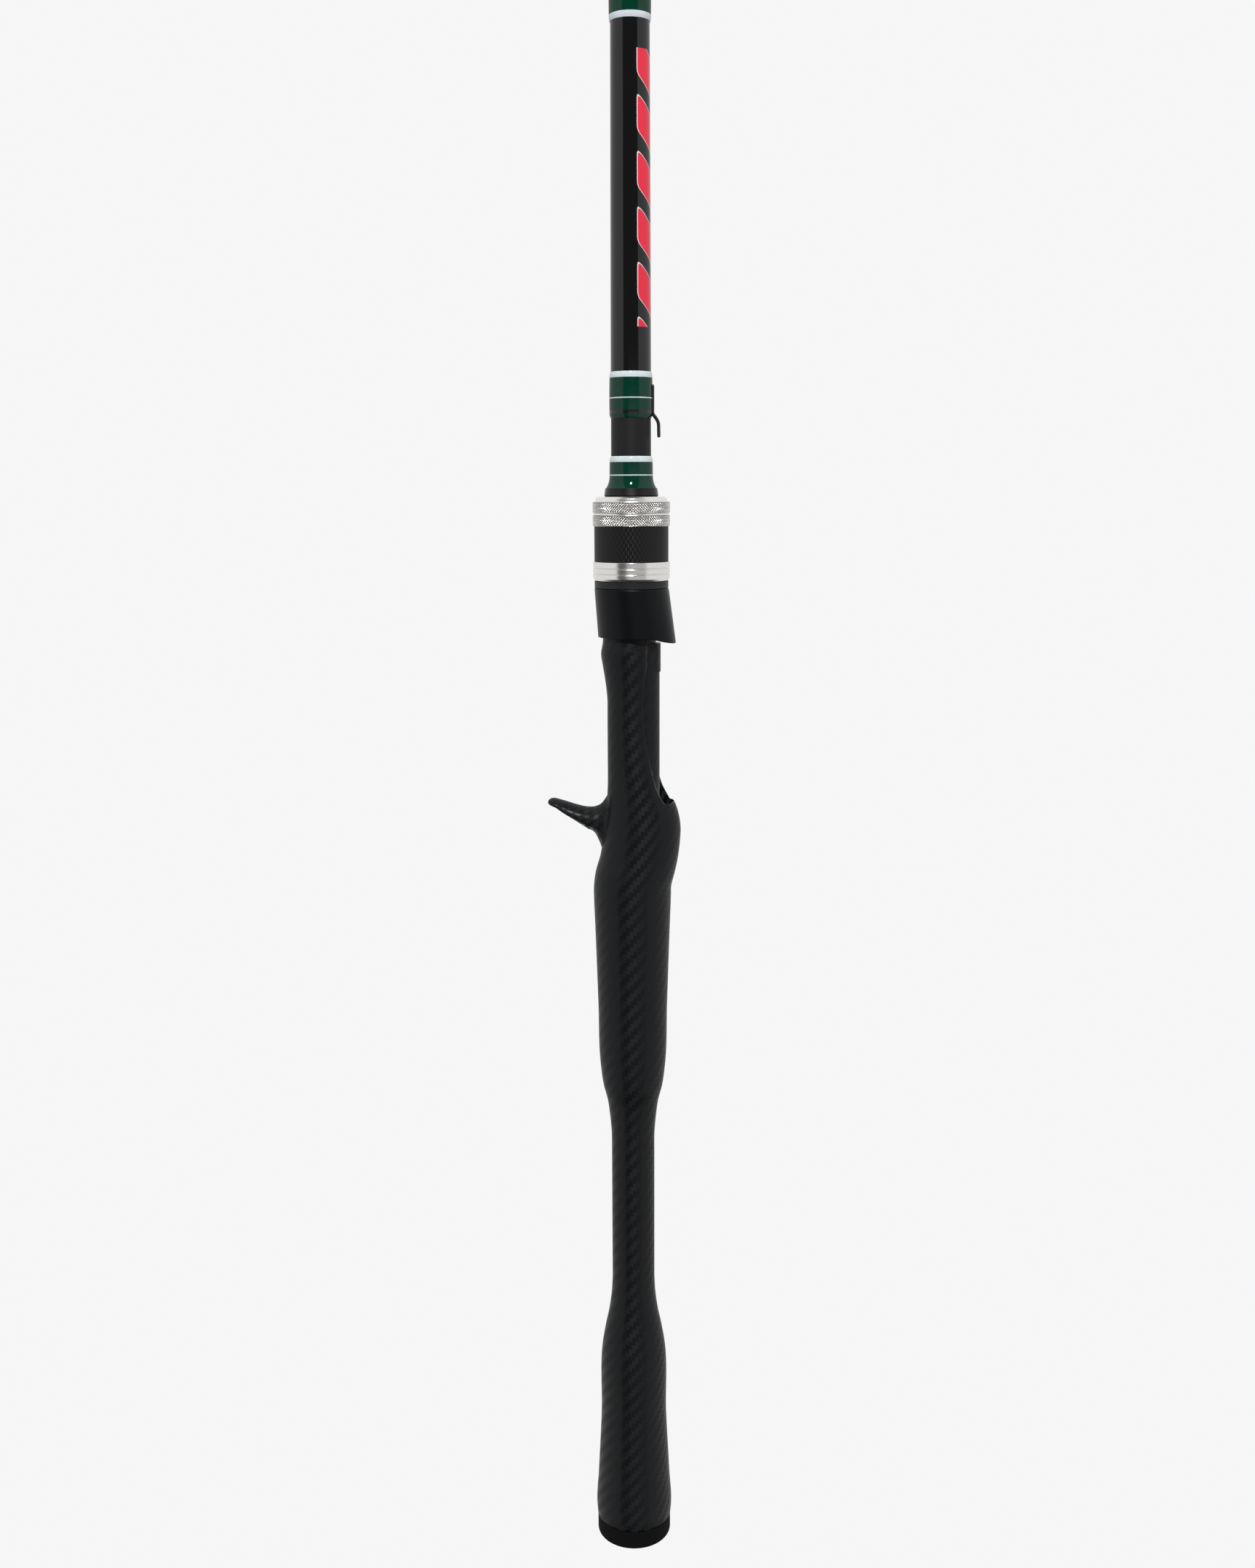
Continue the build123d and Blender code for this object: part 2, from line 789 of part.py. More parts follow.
with BuildPart() as label_coat:
    revolve(wrap_section(z_label, z_fore_wrap, coat_build), axis=Axis.Z)
save(label_coat, "label_coat")

# ------------------------------------------------------------------ guides

guide_span = blank_end - z_free
trim_bands = []
for number, (share, sizes) in enumerate(zip(guide_shares, ring_sizes), start=1):
    ring_r, ring_bore = sizes
    z_guide = z_free + share * guide_span
    surface = blank_radius(z_guide)
    centre_x = surface + guide_clearance + holder_wall + ring_r
    stance = 1.1 * ring_r + 2.5
    with BuildPart() as guide_ring:
        with BuildSketch(Plane.XY.offset(z_guide - ring_width / 2)):
            with Locations((centre_x, 0)):
                Circle(ring_r)
                Circle(ring_bore, mode=Mode.SUBTRACT)
        extrude(amount=ring_width)
        round_edges = guide_ring.edges().filter_by(GeomType.CIRCLE)
        fillet(round_edges.sort_by(SortBy.RADIUS)[0:2], radius=ring_round)
    save(guide_ring, f"guide_ring_{number}")
    with BuildPart() as guide_frame:
        with BuildSketch(Plane.XY.offset(z_guide - holder_width / 2)):
            with Locations((centre_x, 0)):
                Circle(ring_r + holder_wall)
        extrude(amount=holder_width)
        for side in (-1, 1):
            foot_near = z_guide + side * stance
            foot_far = foot_near + side * foot_length
            foot_r = max(blank_radius(foot_near), blank_radius(foot_far))
            foot_x = foot_r + glue_gap + foot_thickness / 2
            with BuildSketch(Plane.YZ.offset(foot_x - foot_thickness / 2)):
                with Locations((0, (foot_near + foot_far) / 2)):
                    RectangleRounded(foot_width, foot_length, 0.8)
            extrude(amount=foot_thickness)
            for hand in (-1, 1):
                leg_foot = Vector(foot_x, hand * 0.55, foot_near + side * 0.7)
                leg_top = Vector(centre_x - 0.35 * ring_r, hand * (ring_r + 0.1), z_guide)
                with BuildLine() as leg_path:
                    Line(leg_foot, leg_top)
                with BuildSketch(Plane(origin=leg_foot, z_dir=leg_top - leg_foot)):
                    Circle(leg_radius)
                sweep(path=leg_path.line)
        with BuildSketch(Plane.XY.offset(z_guide - 3 * holder_width)):
            with Locations((centre_x, 0)):
                Circle(ring_r)
        extrude(amount=6 * holder_width, mode=Mode.SUBTRACT)
    save(guide_frame, f"guide_frame_{number}")
    with BuildPart() as guide_wrap:
        for side in (-1, 1):
            near = z_guide + side * (stance + 1.2)
            far = z_guide + side * (stance + foot_length + foot_wrap_extra)
            low = min(near, far)
            high = max(near, far)
            revolve(wrap_section(low, high, wrap_build - 0.1), axis=Axis.Z)
            wrap_r = blank_radius(low)
            with BuildSketch(Plane.XY.offset(low)):
                with Locations((wrap_r + foot_thickness / 2, 0)):
                    Ellipse(foot_thickness / 2 + 0.45, foot_width / 2 + 0.45)
            extrude(amount=high - low)
            trim_bands.append((far, far + side * 1.2))
        add(blank_form.part, mode=Mode.SUBTRACT)
        add(guide_frame.part, mode=Mode.SUBTRACT)
    save(guide_wrap, f"guide_wrap_{number}")

# ------------------------------------------------------------------ tip-top

tip_ring_r, tip_bore = ring_sizes[-1]
tip_tube_low = blank_end - tip_tube_length
tip_tube_r = blank_radius(tip_tube_low) + glue_gap
tip_x = tip_tube_r + tip_tube_wall + 1.4 + holder_wall + tip_ring_r
z_tip_ring = rod_length - ring_width / 2
with BuildPart() as tip_ring:
    with BuildSketch(Plane.XY.offset(z_tip_ring - ring_width / 2)):
        with Locations((tip_x, 0)):
            Circle(tip_ring_r)
            Circle(tip_bore, mode=Mode.SUBTRACT)
    extrude(amount=ring_width)
    round_edges = tip_ring.edges().filter_by(GeomType.CIRCLE)
    fillet(round_edges.sort_by(SortBy.RADIUS)[0:2], radius=ring_round)
save(tip_ring, "tip_ring")

with BuildPart() as tip_frame:
    with BuildSketch(Plane.XY.offset(tip_tube_low)):
        Circle(tip_tube_r + tip_tube_wall)
        Circle(tip_tube_r, mode=Mode.SUBTRACT)
    extrude(amount=tip_tube_length + 1.0)
    with BuildSketch(Plane.XY.offset(blank_end)):
        Circle(tip_tube_r + tip_tube_wall)
    extrude(amount=1.0)
    with BuildSketch(Plane.XY.offset(z_tip_ring - holder_width / 2)):
        with Locations((tip_x, 0)):
            Circle(tip_ring_r + holder_wall)
    extrude(amount=holder_width)
    for hand in (-1, 1):
        brace_low = Vector(tip_tube_r + tip_tube_wall / 2, hand * 0.35, blank_end - 7.0)
        brace_top = Vector(tip_x, hand * (tip_ring_r + 0.2), z_tip_ring)
        with BuildLine() as brace_path:
            Line(brace_low, brace_top)
        with BuildSketch(Plane(origin=brace_low, z_dir=brace_top - brace_low)):
            Circle(leg_radius - 0.1)
        sweep(path=brace_path.line)
    spine_low = Vector(0, 0, blank_end + 0.4)
    spine_top = Vector(tip_x - tip_ring_r - holder_wall / 2, 0, z_tip_ring)
    with BuildLine() as spine_path:
        Line(spine_low, spine_top)
    with BuildSketch(Plane(origin=spine_low, z_dir=spine_top - spine_low)):
        Circle(leg_radius)
    sweep(path=spine_path.line)
    with BuildSketch(Plane.XY.offset(z_tip_ring - 8 * holder_width)):
        with Locations((tip_x, 0)):
            Circle(tip_ring_r)
    extrude(amount=9 * holder_width, mode=Mode.SUBTRACT)
    add(blank_form.part, mode=Mode.SUBTRACT)
save(tip_frame, "tip_frame")

with BuildPart() as tip_wrap:
    revolve(wrap_section(tip_tube_low - tip_wrap_length, tip_tube_low, 0.35), axis=Axis.Z)
save(tip_wrap, "tip_wrap")

with BuildPart() as guide_trims:
    for start, end in trim_bands:
        revolve(wrap_section(min(start, end), max(start, end), wrap_build - 0.05), axis=Axis.Z)
save(guide_trims, "guide_trims")
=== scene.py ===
# %% [markdown]
# # A casting rod with a woven carbon grip
#
# The measured model gives every place and size, and this script gives the looks: smooth
# surfaces worked out on grids, and a procedural finish for each material. A surface here is
# always the same idea: two numbers, one along the rod and one around it, go in, and a point
# comes out. Whole arrays of both numbers are worked out at once.

# %% Load the frame
import json

import bmesh
import bpy
import numpy as np
from mathutils import Matrix, Vector


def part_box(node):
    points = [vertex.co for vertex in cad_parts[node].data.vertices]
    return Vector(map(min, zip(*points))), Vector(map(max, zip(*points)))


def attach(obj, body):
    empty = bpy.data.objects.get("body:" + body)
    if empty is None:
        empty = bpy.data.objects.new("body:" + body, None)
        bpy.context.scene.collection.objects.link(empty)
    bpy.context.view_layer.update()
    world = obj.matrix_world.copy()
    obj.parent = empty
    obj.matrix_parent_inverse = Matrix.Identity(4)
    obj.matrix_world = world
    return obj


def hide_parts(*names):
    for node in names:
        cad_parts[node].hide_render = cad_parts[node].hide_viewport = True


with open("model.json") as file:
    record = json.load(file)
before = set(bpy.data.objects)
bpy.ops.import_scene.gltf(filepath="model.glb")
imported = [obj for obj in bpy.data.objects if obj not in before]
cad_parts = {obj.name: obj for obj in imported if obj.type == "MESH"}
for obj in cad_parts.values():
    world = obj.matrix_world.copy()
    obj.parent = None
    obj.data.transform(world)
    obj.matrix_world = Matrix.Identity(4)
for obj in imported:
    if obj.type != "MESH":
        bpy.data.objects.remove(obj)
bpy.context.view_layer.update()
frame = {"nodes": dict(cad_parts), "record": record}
record = frame["record"]
MM = 0.001                      # outlines below are in millimetres, and meshes are in metres

# %% [markdown]
# Heights are read from the frame's own boxes, so a piece made here lands on the piece that it
# stands for. Only the free curves, such as the swell of the palm, are given as numbers.

# %% Heights along the rod
def low_of(node):
    """Lowest height of a node, in millimetres."""
    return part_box(node)[0].z / MM


def high_of(node):
    """Highest height of a node, in millimetres."""
    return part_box(node)[1].z / MM


def radius_of(node):
    """Largest reach of a node across the rod, in millimetres."""
    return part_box(node)[1].y / MM


z_shell = low_of("handle_shell")
z_shell_top = high_of("handle_shell")
z_hood_top = high_of("moving_hood")
z_collar = low_of("nut_collar")
z_sleeve = low_of("nut_sleeve")
z_band = low_of("knurled_nut")
z_crown = low_of("nut_crown")
z_nut_top = high_of("nut_crown")
nut_r = radius_of("knurled_nut")
sleeve_r = radius_of("nut_sleeve")
print("shell", z_shell, z_shell_top, "nut", z_collar, z_nut_top, "radius", nut_r)

# %% [markdown]
# ## Camera
#
# The rod is seen from a little above the seat and slightly round to the reel's side, so the
# scooped saddle shows along the right edge. The view ends a little above the fore wrap.

# %% Camera
turn = np.radians(10.0)         # how far round towards +X the camera stands
tilt = np.radians(10.63)
roll = np.radians(-0.2)
distance = 0.541
side_step = -0.0016
camera_height = 0.389
camera_data = bpy.data.cameras.new("camera")
camera = bpy.data.objects.new("camera", camera_data)
bpy.context.scene.collection.objects.link(camera)
camera_data.sensor_width = 36.0
camera_data.lens = 36.4
camera_data.clip_start = 0.01
across = Vector((np.cos(turn), np.sin(turn), 0))
back = Vector((np.sin(turn), -np.cos(turn), 0))
place = back * distance + across * side_step + Vector((0, 0, camera_height))
camera.matrix_world = (
    Matrix.Translation(place)
    @ Matrix.Rotation(turn, 4, "Z")
    @ Matrix.Rotation(np.pi / 2 - tilt, 4, "X")
    @ Matrix.Rotation(roll, 4, "Z")
)
bpy.context.scene.camera = camera
print("camera at", list(place))

# %% [markdown]
# ## Light
#
# A black, glossy rod is lit mostly by what it mirrors. So the room is a white tent, with a
# darker gap on the side that the rod is seen from. That gap gives every tube a dark middle
# and soft pale edges. One small lamp, high in front, draws the highlights.

# %% Tent, lamp and floor
paper = 0.922                   # the pale backdrop's brightness
tent_glow = 0.8                 # brightness of the tent's walls
gap_glow = 0.1                  # brightness of the dark gap
gap_half = np.radians(43)
gap_soft = np.radians(4)
card_glow = 0.42                # a dim card low in the gap, a little to the right
card_middle = np.radians(14)
card_half = np.radians(28)
floor_glow = 0.06               # share of the light that comes from straight below
scene = bpy.context.scene
scene.view_settings.view_transform = "Standard"
scene.view_settings.look = "None"
world = bpy.data.worlds.new("tent")
scene.world = world
world.use_nodes = True
sky = world.node_tree
sky.nodes.clear()


def sky_node(kind, **inputs):
    """New world node with some of its inputs set or linked by number."""
    node = sky.nodes.new(kind)
    for key, value in inputs.items():
        socket = node.inputs[int(key[1:])]
        if isinstance(value, bpy.types.NodeSocket):
            sky.links.new(value, socket)
        else:
            socket.default_value = value
    return node


def sky_math(operation, first, second=0.0):
    """Output of a world math node."""
    node = sky_node("ShaderNodeMath", i0=first, i1=second)
    node.operation = operation
    return node.outputs[0]


def sky_step(value, start, end, low=0.0, high=1.0):
    """Soft step of a value from low to high between start and end."""
    node = sky_node("ShaderNodeMapRange", i0=value, i1=start, i2=end, i3=low, i4=high)
    node.interpolation_type = "SMOOTHSTEP"
    return node.outputs[0]


def sky_along(axis):
    """Part of the direction that lies along a level axis."""
    first = sky_math("MULTIPLY", parts.outputs[0], axis.x)
    return sky_math("ADD", first, sky_math("MULTIPLY", parts.outputs[1], axis.y))


direction = sky_node("ShaderNodeTexCoord").outputs["Generated"]
parts = sky_node("ShaderNodeSeparateXYZ", i0=direction)
rise = parts.outputs[2]
round_about = sky_math("ARCTAN2", sky_along(across), sky_along(back))
wall = sky_step(sky_math("ABSOLUTE", round_about), gap_half - gap_soft, gap_half + gap_soft)
off_card = sky_math("ABSOLUTE", sky_math("SUBTRACT", round_about, card_middle))
card = sky_math(
    "MULTIPLY",
    sky_step(off_card, card_half - gap_soft, card_half + gap_soft, card_glow, 0.0),
    sky_step(rise, 0.02, 0.1, 1.0, 0.0),
)
gap = sky_math("ADD", card, gap_glow)
level = sky_math("ADD", gap, sky_math("MULTIPLY", wall, sky_math("SUBTRACT", tent_glow, gap)))
glow = sky_math("MULTIPLY", level, sky_step(rise, -0.86, -0.6, floor_glow, 1.0))
seen = sky_node("ShaderNodeLightPath").outputs["Is Camera Ray"]
strength = sky_node("ShaderNodeMix", i0=seen, i2=glow, i3=paper)
surface = sky_node("ShaderNodeBackground", i1=strength.outputs[0])
surface.inputs[0].default_value = (1, 1, 1, 1)
sky.links.new(surface.outputs[0], sky_node("ShaderNodeOutputWorld").inputs[0])

lamp_turn = turn - np.radians(1)
lamp_away = 1.5
lamp_height = 1.55
aim_height = 0.3                # the lamp points at the seat
lamp_data = bpy.data.lights.new("lamp", "AREA")
lamp_data.shape = "RECTANGLE"
lamp_data.size = 0.2
lamp_data.size_y = 0.3
lamp_data.energy = 42.0
lamp = bpy.data.objects.new("lamp", lamp_data)
scene.collection.objects.link(lamp)
lamp.location = (lamp_away * np.sin(lamp_turn), -lamp_away * np.cos(lamp_turn), lamp_height)
aim = Vector((0, 0, aim_height)) - lamp.location
lamp.rotation_euler = aim.to_track_quat("-Z", "Y").to_euler()

floor_mesh = bpy.data.meshes.new("floor")
reach = 6.0
corners = [(-reach, -reach, 0), (reach, -reach, 0), (reach, reach, 0), (-reach, reach, 0)]
floor_mesh.from_pydata(corners, [], [(0, 1, 2, 3)])
floor = bpy.data.objects.new("floor", floor_mesh)
scene.collection.objects.link(floor)
floor.location.z = -0.0005
floor.visible_glossy = False
floor.visible_diffuse = False
floor_finish = bpy.data.materials.new("pale_floor")
floor_finish.use_nodes = True
floor_shader = floor_finish.node_tree.nodes["Principled BSDF"]
floor_shader.inputs["Base Color"].default_value = (0, 0, 0, 1)
floor_shader.inputs["Specular IOR Level"].default_value = 0.0
floor_shader.inputs["Emission Color"].default_value = (1, 1, 1, 1)
floor_shader.inputs["Emission Strength"].default_value = paper
floor_mesh.materials.append(floor_finish)
print("tent gap of", round(float(np.degrees(2 * gap_half))), "degrees")

# %% [markdown]
# ## Making a mesh from a grid
#
# `skin` turns a grid of points into a closed mesh: neighbours in the grid share a face, and
# the grid may close on itself around, along, or both. Points that fall together, as at a pole
# or where a column has no width, are merged afterwards.

# %% Skin a grid
def skin(name, points, body="root", around=True, along=False, sharp=32.0, uv=None):
    """Object from points of shape (rows, columns, 3) in millimetres, facing outwards."""
    rows, columns = points.shape[:2]
    index = np.arange(rows * columns).reshape(rows, columns)
    if around:
        index = np.concatenate([index, index[:, :1]], axis=1)
    if along:
        index = np.concatenate([index, index[:1]], axis=0)
    faces = np.stack([index[:-1, :-1], index[:-1, 1:], index[1:, 1:], index[1:, :-1]], axis=-1)
    mesh = bpy.data.meshes.new(name)
    mesh.from_pydata(points.reshape(-1, 3) * MM, [], faces.reshape(-1, 4).tolist())
    if uv is not None:
        layer = mesh.uv_layers.new(name="UVMap")
        loop_points = np.zeros(len(mesh.loops), np.int32)
        mesh.loops.foreach_get("vertex_index", loop_points)
        layer.data.foreach_set("uv", uv.reshape(-1, 2)[loop_points].astype(np.float32).ravel())
    tidy = bmesh.new()
    tidy.from_mesh(mesh)
    bmesh.ops.remove_doubles(tidy, verts=tidy.verts, dist=2e-7)
    bmesh.ops.dissolve_degenerate(tidy, edges=tidy.edges, dist=1e-8)
    bmesh.ops.recalc_face_normals(tidy, faces=tidy.faces)
    tidy.to_mesh(mesh)
    tidy.free()
    mesh.shade_smooth()
    mesh.set_sharp_from_angle(angle=np.radians(sharp))
    piece = bpy.data.objects.new(name, mesh)
    scene.collection.objects.link(piece)
    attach(piece, body)
    print(name, "has", len(mesh.polygons), "faces")
    return piece


# %% Turned shapes
def rounded(corners, radius=0.2, steps=4):
    """Closed outline of (radius, height) corners with each corner rounded by an arc.

    An arc leaves a corner's two edges at equal lengths, and a point close to each arc end
    keeps the flat between two arcs flat. A corner may bring its own rounding as a third number.
    """
    corners = [tuple(c) + (radius,) * (3 - len(c)) for c in corners]
    outline = []
    for k, (x, z, bend) in enumerate(corners):
        here = np.array([x, z])
        before = np.array(corners[k - 1][:2]) - here
        after = np.array(corners[(k + 1) % len(corners)][:2]) - here
        room = 0.45 * min(np.linalg.norm(before), np.linalg.norm(after))
        before /= np.linalg.norm(before)
        after /= np.linalg.norm(after)
        half = np.arccos(np.clip(before @ after, -1, 1)) / 2
        if half > 1.55 or bend <= 0:
            outline.append(here)
            continue
        cut = min(bend / np.tan(half), room)
        t = np.linspace(0, 1, steps + 1)[:, None]
        curve = (1 - t) ** 2 * before * cut + t**2 * after * cut
        outline.append(here + before * cut * 1.15)
        outline.extend(here + curve)
        outline.append(here + after * cut * 1.15)
    return np.array(outline)


def turned(name, corners, body="root", columns=160, radius=0.2, steps=4):
    """Ring turned about the rod's axis: (r cos a, r sin a, z) for the outline at every angle a."""
    outline = rounded(corners, radius, steps)
    angle = np.linspace(0, 2 * np.pi, columns, endpoint=False)
    r = np.repeat(outline[:, :1], columns, axis=1)
    z = np.repeat(outline[:, 1:], columns, axis=1)
    points = np.stack([r * np.cos(angle), r * np.sin(angle), z], axis=-1)
    return skin(name, points, body, along=True)


def smooth_through(stations, values, at):
    """Smooth curve through stations: a cubic on each span, its slopes the mean of its neighbours."""
    stations = np.asarray(stations, float)
    values = np.asarray(values, float)
    slopes = np.gradient(values, stations)
    k = np.clip(np.searchsorted(stations, at, side="right") - 1, 0, len(stations) - 2)
    span = stations[k + 1] - stations[k]
    t = np.clip((at - stations[k]) / span, 0, 1)
    rise = (1 - t) ** 2 * ((1 + 2 * t) * values[k] + t * span * slopes[k])
    return rise + t**2 * ((3 - 2 * t) * values[k + 1] + (t - 1) * span * slopes[k + 1])


# %% [markdown]
# ## Finishes
#
# Each finish is one Principled shader with a few nodes in front of it. Patterns are worked
# out from Object coordinates: the angle about the rod and the height along it.

# %% Node helpers
class Finish:
    """A material whose patterns read the angle about the rod and the height along it."""

    def __init__(self, name, colour=(0.02, 0.02, 0.02), roughness=0.5, metallic=0.0):
        self.name = name        # the material's own name may get a number, if the frame has it
        self.material = bpy.data.materials.new(name)
        self.material.use_nodes = True
        self.tree = self.material.node_tree
        self.shader = self.tree.nodes["Principled BSDF"]
        self.shader.inputs["Base Color"].default_value = (*colour, 1)
        self.shader.inputs["Roughness"].default_value = roughness
        self.shader.inputs["Metallic"].default_value = metallic
        place = self.tree.nodes.new("ShaderNodeTexCoord").outputs["Object"]
        self.place = place
        apart = self.tree.nodes.new("ShaderNodeSeparateXYZ")
        self.tree.links.new(place, apart.inputs[0])
        self.x, self.y, self.z = apart.outputs

    def value(self, name, number):
        """Set a socket of the shader."""
        self.shader.inputs[name].default_value = number
        return self

    def node(self, kind, **settings):
        """New node with properties set by name."""
        node = self.tree.nodes.new(kind)
        for key, value in settings.items():
            setattr(node, key, value)
        return node

    def math(self, operation, *values):
        """Output of a math node."""
        node = self.node("ShaderNodeMath", operation=operation)
        for socket, value in zip(node.inputs, values):
            if isinstance(value, bpy.types.NodeSocket):
                self.tree.links.new(value, socket)
            else:
                socket.default_value = value
        return node.outputs[0]

    def angle(self):
        """Angle about the rod, in radians."""
        return self.math("ARCTAN2", self.y, self.x)

    def radius(self):
        """Distance from the rod's axis, in metres."""
        squares = [self.math("MULTIPLY", side, side) for side in (self.x, self.y)]
        return self.math("SQRT", self.math("ADD", *squares))

    def noise(self, scale, detail=2.0, roughness=0.5):
        """Noise that follows the object."""
        node = self.node("ShaderNodeTexNoise")
        node.inputs["Scale"].default_value = scale
        node.inputs["Detail"].default_value = detail
        node.inputs["Roughness"].default_value = roughness
        self.tree.links.new(self.place, node.inputs["Vector"])
        return node.outputs[0]

    def blend(self, share, low, high):
        """Plain number between low and high."""
        node = self.node("ShaderNodeMapRange")
        self.tree.links.new(share, node.inputs[0])
        node.inputs[3].default_value = low
        node.inputs[4].default_value = high
        return node.outputs[0]

    def colours(self, share, low, high):
        """Colour between low and high."""
        node = self.node("ShaderNodeMix", data_type="RGBA")
        self.tree.links.new(share, node.inputs[0])
        for socket, value in ((node.inputs[6], low), (node.inputs[7], high)):
            if isinstance(value, bpy.types.NodeSocket):
                self.tree.links.new(value, socket)
            else:
                socket.default_value = (*value, 1)
        return node.outputs[2]

    def drive(self, name, output):
        """Link a socket of the shader."""
        self.tree.links.new(output, self.shader.inputs[name])
        return self

    def bump(self, height, depth):
        """Bump of the given depth in metres."""
        node = self.node("ShaderNodeBump")
        node.inputs["Strength"].default_value = 1.0
        node.inputs["Distance"].default_value = depth
        self.tree.links.new(height, node.inputs["Height"])
        self.tree.links.new(node.outputs[0], self.shader.inputs["Normal"])
        return self

    def gloss_coat(self, weight=1.0, roughness=0.03):
        """Clear coat over the finish."""
        return self.value("Coat Weight", weight).value("Coat Roughness", roughness)

    def put_on(self, *pieces):
        """Give this finish to every slot of the pieces."""
        for piece in pieces:
            piece = frame["nodes"][piece] if isinstance(piece, str) else piece
            if not piece.data.materials:
                piece.data.materials.append(self.material)
            for slot in piece.material_slots:
                slot.material = self.material
        return self


# %% [markdown]
# ### Woven carbon
#
# Carbon cloth is flat bundles of fibre, called tows, crossing each other. In a twill, each
# tow passes over two and under two, one step further along on each row, so the floats climb
# in diagonals. A bundle shines across its fibres, not along them. That is why the weave shows
# only in one strip facing the lamp: the two directions of fibre shine at different angles.
# The floats on top also get a slightly lighter colour, which is painted sheen.

# %% Carbon
def weave(finish, tow, pitch, over, cycle, colours, roughness, depth, shine=1.0):
    """Woven cloth: columns `tow` metres wide, rows `pitch` metres high.

    The column number is the arc from the front, angle times radius, over the width of a tow.
    A row floats on top where (column - row) modulo cycle is under `over`. The height of a tow
    is 1 - (2f - 1)^2, where f runs from 0 to 1 across it. `shine` is the share of a floating
    tow's width that takes its smoother, turned shine and its lighter colour; that lighter colour
    is painted sheen.
    """
    front_angle = finish.math("ARCTAN2", finish.x, finish.math("MULTIPLY", finish.y, -1.0))
    column = finish.math("DIVIDE", finish.math("MULTIPLY", front_angle, finish.radius()), tow)
    row = finish.math("DIVIDE", finish.z, pitch)
    whole_column = finish.math("FLOOR", column)
    whole_row = finish.math("FLOOR", row)
    step = finish.math("FLOORED_MODULO", finish.math("SUBTRACT", whole_column, whole_row), cycle)
    row_on_top = finish.math("LESS_THAN", finish.math("ADD", step, 0.25), over)
    off_middle = finish.math("ABSOLUTE", finish.math("SUBTRACT", finish.math("FRACT", column), 0.5))
    row_on_top = finish.math("MULTIPLY", row_on_top, finish.math("LESS_THAN", off_middle, shine / 2))

    def crown(number):
        share = finish.math("SUBTRACT", finish.math("FRACT", number), 0.5)
        square = finish.math("MULTIPLY", share, share)
        return finish.math("SUBTRACT", 1.0, finish.math("MULTIPLY", square, 4.0))

    mix = finish.node("ShaderNodeMix", data_type="FLOAT")
    for socket, output in zip((0, 2, 3), (row_on_top, crown(column), crown(row))):
        finish.tree.links.new(output, mix.inputs[socket])
    grain = finish.noise(900.0, 3.0, 0.7)
    # painted sheen: the floats on top, only their crowns where shine is under 1, get the lighter colour;
    # the grain adds random tone
    tone = finish.math(
        "ADD", finish.math("MULTIPLY", row_on_top, 0.8), finish.math("MULTIPLY", grain, 0.4))
    finish.drive("Base Color", finish.colours(tone, *colours))
    finish.drive("Roughness", finish.blend(row_on_top, *roughness))
    tangent = finish.node("ShaderNodeTangent", direction_type="RADIAL", axis="Z")
    finish.drive("Tangent", tangent.outputs[0])
    finish.value("Anisotropic", 0.614)
    finish.drive("Anisotropic Rotation", finish.blend(row_on_top, 0.0, 0.25))
    height = finish.math("ADD", mix.outputs[0], finish.math("MULTIPLY", grain, 0.25))
    return finish.bump(height, depth)


# the grip's second colour is painted sheen on the floats on top
woven_carbon = weave(
    Finish("woven_carbon"), tow=0.00128, pitch=0.0014, over=2, cycle=4,
    colours=((0.0012, 0.0016, 0.0023), (0.0032, 0.0038, 0.0046)), roughness=(0.44, 0.69),
    depth=0.000012,
)
# painted glint: the sleeve's lighter colour lies in narrow dashes on the crowns of the floats on top
carbon_sleeve = weave(
    Finish("carbon_sleeve"), tow=0.00075, pitch=0.00126, over=1, cycle=2,
    colours=((0.004, 0.004, 0.0045), (0.009, 0.009, 0.0095)), roughness=(0.4, 0.62),
    depth=0.00001, shine=0.5,
)
woven_carbon.value("Specular IOR Level", 0.16).gloss_coat(0.16, 0.16)
carbon_sleeve.value("Specular IOR Level", 0.2)
blank_carbon = Finish("blank_carbon", (0.0075, 0.007, 0.0072), 0.5).value("Specular IOR Level", 0.2)
blank_carbon.bump(
    blank_carbon.math("ADD", blank_carbon.noise(1500.0, 2.0), blank_carbon.math(
        "SINE", blank_carbon.math("MULTIPLY", blank_carbon.z, 2 * np.pi / 0.0011))),
    0.000003,
)
print("carbon finishes made")

# %% [markdown]
# ### Plastics, rubber, metal and thread
#
# Moulded parts get a fine grain, the rubber is rougher still, and turned metal gets the faint
# rings that the tool leaves. Thread wraps are dyed thread under clear epoxy: fine ridges in
# the colour, and a smooth coat on top.

# %% Dark moulded parts
def grained(name, colour, roughness, scale, depth, metallic=0.0, shine=0.5, detail=2.0, rough=0.5):
    """Plain finish with a fine grain: noise of the given scale as bump of the given depth."""
    finish = Finish(name, colour, roughness, metallic).value("Specular IOR Level", shine)
    return finish.bump(finish.noise(scale, detail, rough), depth)


satin_black = grained("satin_black", (0.0015, 0.002, 0.0028), 0.36, 4000.0, 0.000004, shine=0.16)
black_nylon = grained("black_nylon", (0.006, 0.006, 0.007), 0.45, 3000.0, 0.000005, shine=0.3)
black_rubber = grained("black_rubber", (0.0022, 0.0022, 0.0024), 0.85, 2500.0, 0.00002, shine=0.12,
                       detail=4.0, rough=0.7)
arbor_foam = grained("arbor_foam", (0.25, 0.24, 0.22), 0.8, 1800.0, 0.00004)
black_anodised = grained("black_anodised", (0.012, 0.012, 0.013), 0.32, 2500.0, 0.000003, 0.6)
keeper_black = grained("keeper_black", (0.004, 0.004, 0.0045), 0.2, 1500.0, 0.000003)
keeper_black.gloss_coat(0.6, 0.08)
guide_metal = grained("guide_metal", (0.06, 0.062, 0.066), 0.28, 3000.0, 0.000003, 1.0)
guide_ceramic = grained("guide_ceramic", (0.012, 0.012, 0.014), 0.08, 900.0, 0.000001)

